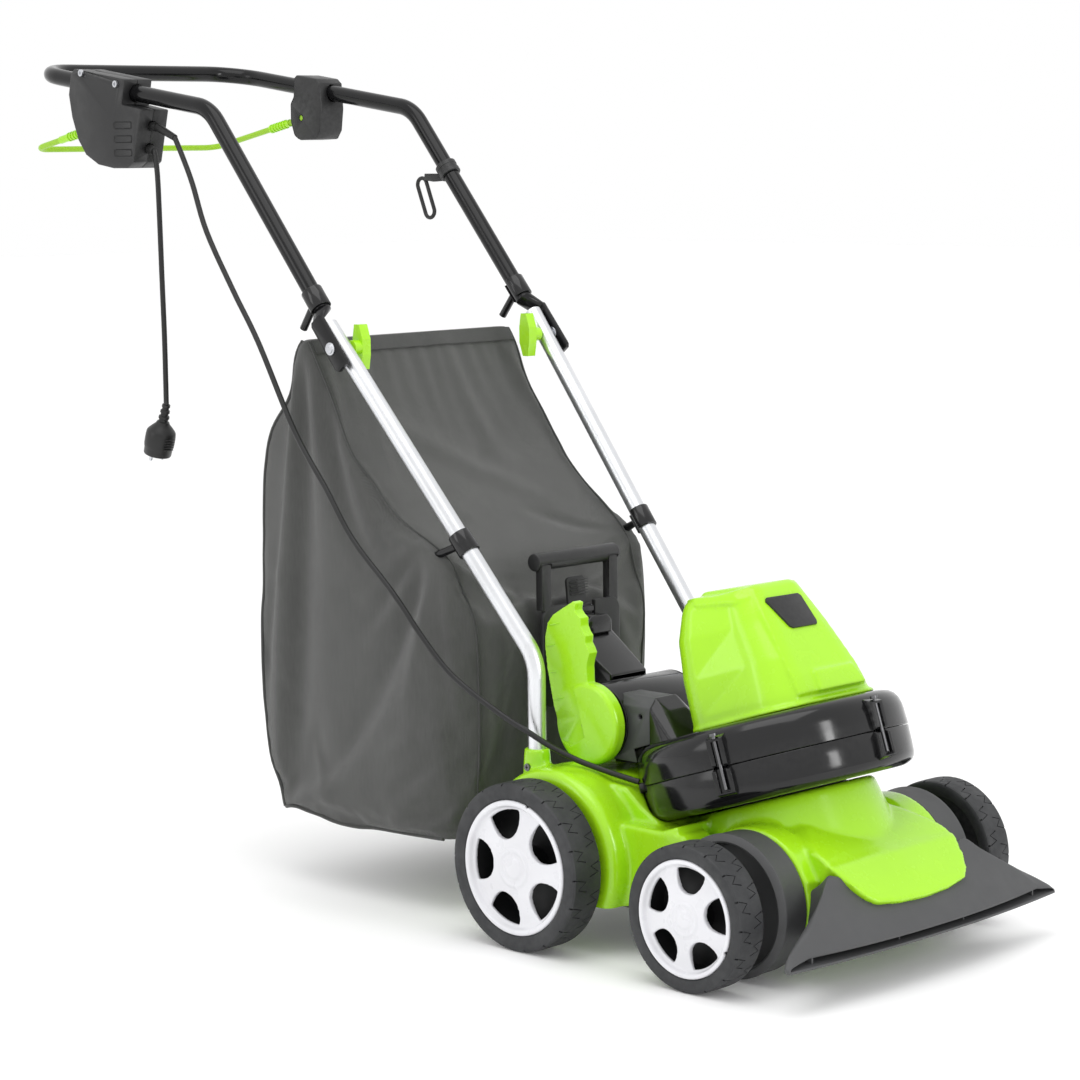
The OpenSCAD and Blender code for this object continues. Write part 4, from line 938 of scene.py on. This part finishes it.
def hang(body, start):
    """Blows the bag up a little and lets it hang from its clips, hem, base and port."""
    x, y, z = start.T
    hold = np.zeros(len(start))
    hold[z > 688] = 1
    hold[z < 98] = 0.9
    for sign in (-1, 1):
        for point, reach in (((sign * 176, 146, 700), 34), ((sign * 174, -84, 440), 24)):
            away = np.linalg.norm(start - np.array(point), axis=1)
            hold = np.maximum(hold, np.clip(1.6 - away / reach, 0, 1))
    hold[(np.abs(x) < 76) & (z > 240) & (z < 378) & (y < -120)] = 1
    group = body.vertex_groups.new(name="held")
    for i in np.nonzero(hold)[0]:
        group.add([int(i)], float(hold[i]), "REPLACE")
    cloth = body.modifiers.new("cloth", "CLOTH")
    s = cloth.settings
    s.quality = 5
    s.mass = 0.25
    s.tension_stiffness = s.compression_stiffness = 12
    s.shear_stiffness = 6
    s.bending_stiffness = 0.9
    s.tension_damping = s.compression_damping = 8
    s.shrink_min = -0.022
    s.vertex_group_mass = "held"
    s.pin_stiffness = 1.0
    s.use_pressure = True
    s.uniform_pressure_force = 0.35
    s.effector_weights.gravity = 0.35
    cloth.collision_settings.use_self_collision = False
    cloth.point_cache.frame_start = 1
    cloth.point_cache.frame_end = 30
    scene = bpy.context.scene
    for number in range(1, CLOTH_STEPS + 1):
        scene.frame_set(number)
    graph = bpy.context.evaluated_depsgraph_get()
    hung = bpy.data.meshes.new_from_object(body.evaluated_get(graph), depsgraph=graph)
    body.modifiers.clear()
    scene.frame_set(1)
    move = read_points(hung) * 1000 - start
    bpy.data.meshes.remove(hung)
    far = np.linalg.norm(move, axis=1)
    scale = np.where(far > 1e-6, CLOTH_CAP * np.tanh(far / CLOTH_CAP) / np.maximum(far, 1e-6), 1)
    body.vertex_groups.clear()
    return start + move * scale[:, None]


def bag_cloth():
    """The bag's shell, and its points before and after it hung, in mm."""
    body = merged("bag_shell", [prism(rounded_outline(BAG_SIDE, 12), -BAG_HALF, BAG_HALF)])
    chamfer = BAG_CORNER + [(-190, -150), (-230, -150), (-230, -80)]
    cut(body, [hull([(sign * x, y, z) for x, y in chamfer for z in (0, 900)]) for sign in (-1, 1)])
    melt(body, 8.5, 3)
    place = read_points(body.data) * 1000
    normal = read_points(body.data, "normal")
    start = place + normal * bag_folds(place, normal)[:, None]
    write_points(body.data, start)
    hung = hang(body, start)
    write_points(body.data, hung)
    return body, start, hung


def follow(points, before, after):
    """Carries points with the cloth: a smooth mean of how the nearest cloth moved."""
    out = []
    for p in points:
        d = np.linalg.norm(before - np.array(p, float), axis=1)
        near = np.argpartition(d, 10)[:10]
        w = 1 / (d[near] + 2.0) ** 2
        out.append(Vector(np.array(p, float) + (w[:, None] * (after - before)[near]).sum(0) / w.sum()))
    return out


def on_cloth(points, tree, lift):
    """Puts points a little above the finished cloth, and gives its outward direction there."""
    out, ups = [], []
    for p in points:
        spot, normal = tree.find_nearest(Vector(p) * MM)[:2]
        out.append(spot / MM + normal * lift)
        ups.append(normal)
    return out, ups


def ribbon(points, outward, width, thick):
    """A flat strap along points with its broad face turned outward, all in mm."""
    points = [Vector(p) for p in points]
    last = len(points) - 1
    verts = []
    for i, p in enumerate(points):
        along = (points[min(i + 1, last)] - points[max(i - 1, 0)]).normalized()
        out = Vector(outward[i] if len(outward) == len(points) else outward[0]).normalized()
        out = (out - along * out.dot(along)).normalized()
        across = along.cross(out)
        for a, b in ((-1, -0.4), (-0.96, 0.5), (0, 0.62), (0.96, 0.5), (1, -0.4)):
            verts.append(p + across * a * width / 2 + out * b * thick)
    return verts, skin(last + 1, 5) + end_caps(last + 1, 5)


def dense(points, pitch=9):
    """Points about every pitch mm along a line."""
    out = []
    for a, b in zip(points, points[1:]):
        a, b = Vector(a), Vector(b)
        n = max(1, int((b - a).length / pitch))
        out += [a.lerp(b, k / n) for k in range(n)]
    return out + [Vector(points[-1])]


def round_path(points, passes):
    """Smooths a line of points, with its ends held."""
    points = [Vector(p) for p in points]
    for _ in range(passes):
        points = [points[0]] + [(points[i - 1] + points[i] * 2 + points[i + 1]) / 4
                                for i in range(1, len(points) - 1)] + [points[-1]]
    return points


def trimmed(piece):
    """Bound edges, tapes and stitches are a darker, coarser weave."""
    dress(piece, "woven_cloth", "machine")
    piece.data.materials[0] = CLOTH_TRIM


def make_bag():
    """The bag with its bound edges, side tapes and stitched hem."""
    body, before, after = bag_cloth()
    bake(body, ("SUBSURF", dict(levels=1, render_levels=1)))
    dress(body, "woven_cloth", "machine", ["bag"], 80)
    work = bmesh.new()
    work.from_mesh(body.data)
    tree = BVHTree.FromBMesh(work)
    work.free()

    def edging(name, spots, radius, sides):
        trimmed(add_piece(name, *tube_mesh([p * MM for p in spots], radius * MM, sides), "woven_cloth", None))

    for sign, name in ((-1, "right"), (1, "left")):
        rear = [(sign * 181, p[0], p[1]) for p in BAG_SIDE[10:20]]
        base = [(sign * 181, 204, 94), (sign * 181, 60, 84), (sign * 179, -96, 92)]
        front = [(sign * 178, 134, 698), (sign * 180, 92, 632), (sign * 180, 38, 560), (sign * 178, -12, 508),
                 (sign * 172, -50, 474), (sign * 160, -88, 440), (sign * 152, -126, 392),
                 (sign * 150, -134, 330), (sign * 151, -134, 240), (sign * 152, -130, 160),
                 (sign * 154, -122, 98)]
        for part, line, size in (("rear", rear, 2.6), ("base", base, 2.6), ("front", front, 1.7)):
            spots = on_cloth(follow(round_path(dense(line), 6), before, after), tree, 0.5)[0]
            edging("bag_welt_%s_%s" % (part, name), round_path(spots, 2), size, 8)
        path = follow(round_path(dense(rear[1:]), 6), before, after)
        spots, ups = on_cloth([p + Vector((-sign * 10, 0, 0)) for p in path], tree, 0.8)
        trimmed(merged("bag_tape_" + name, [ribbon(round_path(spots, 2), ups, 15, 1.6)]))

    def across_hem(off):
        y, z = 128 + off * 0.45, 690 + off * 0.9
        return follow(dense([(-176, y, z), (176, y, z)], 12), before, after)

    spots, ups = on_cloth(across_hem(0), tree, 0.8)
    trimmed(merged("bag_hem", [ribbon(spots, ups, 20, 2.2)]))
    for k, off in enumerate((9, -9)):
        edging("bag_hem_stitch_%d" % k, on_cloth(across_hem(off), tree, 2.2)[0], 0.7, 6)


CLOTH_TRIM = woven_cloth("cloth_trim", (0.045, 0.046, 0.044), 0.0016)
make_bag()


# ---- smaller mouldings -------------------------------------------------------------
def plate(front_half, back_half, front, back, corner, z, place, steps=8):
    """A rounded trapezoid of points at height z, handed to place(x, y, z)."""
    points = []
    for cx, cy, start in ((back_half - corner, back - corner, 0), (-back_half + corner, back - corner, 90),
                          (-front_half + corner, front + corner, 180),
                          (front_half - corner, front + corner, 270)):
        for k in range(steps):
            a = math.radians(start + 90 * k / (steps - 1))
            points.append(place(cx + corner * math.cos(a), cy + corner * math.sin(a), z))
    return points


def stack(plates, place=fan):
    """A closed loft of rounded plates."""
    rings = [plate(*p, place) for p in plates]
    n = len(rings[0])
    return [v for ring in rings for v in ring], skin(len(rings), n) + end_caps(len(rings), n)


def make_side_caps():
    """The drums behind the front wheels: a bevelled flange round a deep recess and a boss."""
    profile = [(0, 0), (0, 80.5), (1.5, 82), (32, 82.3), (34, 83.2), (37.5, 83.2), (38.6, 82.2), (42, 75.5),
               (41.6, 73.8), (39.5, 72.6), (22, 71.5), (20, 70), (20, 22), (23, 19.4), (60, 18.2), (62.6, 17.6),
               (64, 16), (64, 0)]
    solid = turned([(a + 132.6, b) for a, b in profile], FRONT_HUB, X_AXIS, 120)
    caps = merged("side_caps_pair", [solid, flipped(solid)])
    dress(caps, "grey_plastic", "machine", ["side_caps"], 32)


def make_cover():
    """The motor's helmet: tall rounded flanks, a low crest down the middle and a thin lip."""
    shell = stack([(96, 98, -114, 53, 43, 92.4), (96, 98, -114, 53, 43, 96.5), (91, 96, -111, 51, 42, 98),
                   (90, 96, -109, 51, 42, 108), (79, 94, -99, 51, 41, 152), (67, 88, -79, 47, 37, 200),
                   (59, 77, -65, 36, 28, 232), (54, 71, -60, 29, 21, 242)])
    top = hull([fan(x * s, y, z) for s in (-1, 1) for x, y, z in
                ((60, -50, 226), (57, -54, 230), (48, -62, 230), (44, -58, 236.5), (56, -46, 237.5),
                 (69, 6, 246), (60, 24, 247), (52, 31, 243), (75, 0, 236))])
    crest = hull([fan(x * s, y, z) for s in (-1, 1) for x, y, z in
                  ((40, -63, 238), (37, -58, 243), (40, 12, 251.5), (32, 24, 249.5), (48, 14, 243),
                   (46, -58, 233), (52, -85, 184), (60, -106.5, 128), (30, -66, 238), (28, -61, 243.5),
                   (38, -88, 184), (46, -108.5, 128), (62, -112, 106), (46, -114, 106),
                   (62, -100, 96), (30, -100, 96))])
    panel = hull([fan(x, y, z) for x, y, z in
                  ((-25, -112, 130), (46, -112, 130), (-30, -119.5, 105), (54, -119.5, 105), (-24, -100, 133),
                   (48, -100, 133), (-30, -100, 103), (54, -100, 103))])
    meld("motor_helmet", [shell, top, crest, panel], 1.9, 10, "lime_plastic", "machine", ["motor_cover"])
    outline = [(-35.5, 219), (-33, 223), (22.5, 222.2), (26, 219), (27.5, 186), (25, 181.6), (-17, 182),
               (-21.5, 184.5)]
    lean = (Vector((0, -63, 240)) - Vector((0, -106, 130))).normalized()
    out = lean.cross(Vector(X_AXIS))
    if out.y > 0:
        out = -out
    verts = [fan(*(Vector((x, -63 - (240 - z) * 43 / 110, z)) + out * lift))
             for lift in (-0.6, 5.6) for x, z in outline]
    badge = merged("badge_plate", [(verts, prism_faces(len(outline)))])
    rounded(badge, 0.6, 2)
    dress(badge, "dark_plastic", "machine", ["badge_panel"])


def make_lever():
    """The diverter's lever: a disc with a shallow crescent, and an arm with finger scallops."""
    edge = [(-236, 250), (-229, 268), (-224, 290), (-219, 312), (-216, 335), (-216, 352), (-220, 368),
            (-229, 379), (-246, 389), (-262, 398), (-267, 396.5), (-265, 388), (-269, 383), (-275, 379),
            (-275, 370), (-278, 364), (-283, 358), (-282, 350), (-286, 344), (-289, 338), (-286, 330),
            (-284, 322), (-285, 300), (-290, 286), (-284, 262)]
    arm = prism(edge, -119, -104.5)
    disc = turned([(-122, 0), (-122, 45), (-120.5, 48.4), (-117, 50), (-106, 50), (-104.4, 48), (-104.4, 0)],
                  (0, -284, 252), X_AXIS, 96)
    piece = merged("lever_body", [arm, disc])
    tools = [prism([(-264, 296), (-270, 281), (-275, 262), (-283, 236), (-259, 222), (-241, 228), (-230, 250),
                    (-226, 290)], -130, -119.2)]
    melt(piece, 1.0, 4)
    cut(piece, tools)
    rounded(piece, 0.5, 2, 45)
    dress(piece, "lime_plastic", "selector", ["mode_lever"], 45)
    marks = ((-224, 366, -240, 370), (-217.5, 340, -232, 343), (-221, 308, -236, 311), (-229, 275, -246, 280))
    for k, (y0, z0, y1, z1) in enumerate(marks):
        line = [(-119.2, y0, z0), (-119.6, (y0 + y1) / 2, (z0 + z1) / 2), (-119.2, y1, z1)]
        mark = tube_mesh([Vector(p) * MM for p in line], [0.0006, 0.0012, 0.0005], 8)
        add_piece("lever_mark_%d" % k, *mark, "lime_plastic", "selector")


def bent_path(points, radius, steps=9):
    """Points in mm along straight runs, with a true arc at each inner corner."""
    points = [Vector(p) for p in points]
    out = [points[0]]
    for before, here, after in zip(points, points[1:], points[2:]):
        inward, outward = (before - here).normalized(), (after - here).normalized()
        half = inward.angle(outward) / 2
        centre = here + (inward + outward).normalized() * radius / math.sin(half)
        first = (here + inward * radius / math.tan(half) - centre).normalized()
        last = (here + outward * radius / math.tan(half) - centre).normalized()
        out += [centre + first.slerp(last, k / steps) * radius for k in range(steps + 1)]
    return out + [points[-1]]


RISE = Vector((0, 0.6384, 0.7697))
PIVOT = Vector((179, 70, 691))


def make_push_bar():
    """The bent black tube, flattened at its two ends where it bolts to the lower tubes."""
    start = PIVOT + RISE * 57
    route = [start, Vector((179, 318, 990)), Vector((179, 689, 1045))]
    route = [Vector((-p.x, p.y, p.z)) for p in route] + route[::-1]
    ahead = Vector((0, -RISE.z, RISE.y))
    ends = []
    for side in (-1, 1):
        corners = []
        for along, wide in ((-30, 7.5), (-26.5, 10.6), (-22.5, 11.2), (42, 11.2), (46, 8)):
            for sign in (-1, 1):
                for x in (193.9, 199.7):
                    spot = PIVOT + RISE * along + ahead * wide * sign
                    corners.append((side * x, spot.y, spot.z))
        ends.append(hull(corners))
        neck = [(side * x, *(PIVOT + RISE * 40 + ahead * w).yz) for x in (194, 199.6) for w in (-10.8, 10.8)]
        ring = tube_mesh([(side * 179, *(PIVOT + RISE * rise).yz) for rise in (57, 60)], 11.3, 32)[0]
        ends.append(hull(neck + [tuple(v) for v in ring]))
    plates = merged("push_bar_ends", ends)
    rounded(plates, 0.9, 2)
    dress(plates, "coated_tube", "handle", ["upper_handle"])
    bar = merged("push_bar_tube", [tube_mesh(bent_path(route, 60), 11, 40)])
    dress(bar, "coated_tube", "handle", ["upper_handle"])


def make_bail():
    """The dipped steel rod, with an eye at each end."""
    route = [(-162, 520, 980), (-162, 716, 940), (162, 716, 940), (162, 520, 980)]
    rod = tube_mesh(bent_path(route, 22), 4.1, 20)
    eyes = [turned([(-5, 0), (-5, 7.2), (-4.2, 8), (4.2, 8), (5, 7.2), (5, 0)], (x, 520, 980), X_AXIS, 32)
            for x in (-162, 162)]
    pin = turned([(-6.5, 0), (-6.5, 3.8), (9.5, 3.8), (9.5, 0)], (162, 520, 980), X_AXIS, 24)
    dress(merged("bail_loop", [rod, pin] + eyes), "lime_coated_rod", "bail", ["bail_rod"])


def make_cable_hook():
    """A collar on the far tube, with an open loop that holds a bight of the extension lead."""
    centre = PIVOT + RISE * 280
    lathe("hook_collar", [(-9, 11.2), (-9, 13.8), (-8, 14.7), (-3, 14.7), (-2.4, 14), (2.4, 14), (3, 14.7),
                          (8, 14.7), (9, 13.8), (9, 11.2)],
          centre * MM, RISE, "dark_plastic", "handle", ["cable_hook"], sides=48)
    arm = hull([(centre.x + dx, centre.y + y, centre.z + z) for dx in (-3.6, 3.6)
                for y, z in ((10, -15), (10, -5), (30, -7), (43, -5), (44, -14), (26, -16))])
    middle = Vector((centre.x, centre.y + 44, centre.z - 38))
    lean = math.radians(22)
    long_way = Vector((0, math.sin(lean), math.cos(lean)))
    wide_way = Vector((0, math.cos(lean), -math.sin(lean)))
    ring = []
    for k in range(48):
        a = 2 * math.pi * k / 48
        lift = 19.2 * (1 if math.sin(a) > 0 else -1)
        ring.append(middle + wide_way * 9 * math.cos(a) + long_way * (lift + 9 * math.sin(a)))
    hook = merged("hook_loop", [arm, tube_mesh(ring + ring[:2], 2.7, 14, False)])
    rounded(hook, 0.8, 2, 40)
    dress(hook, "dark_plastic", "handle", ["cable_hook"])


def make_latch_ribs():
    """Thumb ribs on the bag connector's latch."""
    for k in range(6):
        y, z = -166.6 + 0.35 * k, 386.5 + 3.4 * k
        rib = tube_mesh([Vector((x, y, z)) * MM for x in (-9, 0, 9)], [0.0007, 0.0009, 0.0007], 8)
        add_piece("latch_rib_%d" % k, *rib, "dark_plastic", "latch")


make_side_caps()
make_cover()
make_lever()
make_push_bar()
make_bail()
make_cable_hook()
make_latch_ribs()


# ---- CAD nodes with rounded edges ---------------------------------------------------
SOFT = {"belly_pan": 0.8, "outlet_collar": 1.2, "diverter_housing": 1.0,
        "diverter_end_cap": 0.8, "rear_duct": 2.0, "bag_connector": 1.4, "connector_latch": 0.5,
        "upper_clips": 0.8, "lower_clips": 0.8, "switch_box_outer": 1.6,
        "switch_box_inner": 1.6, "pivot_block": 1.8, "pivot_bolts": 0.4}
DARK = ("switch_box_outer", "switch_box_inner", "pivot_block", "connector_latch", "bag_connector")
for soft_node, soft_width in SOFT.items():
    soften(soft_node, soft_width, "dark_plastic" if soft_node in DARK else None)
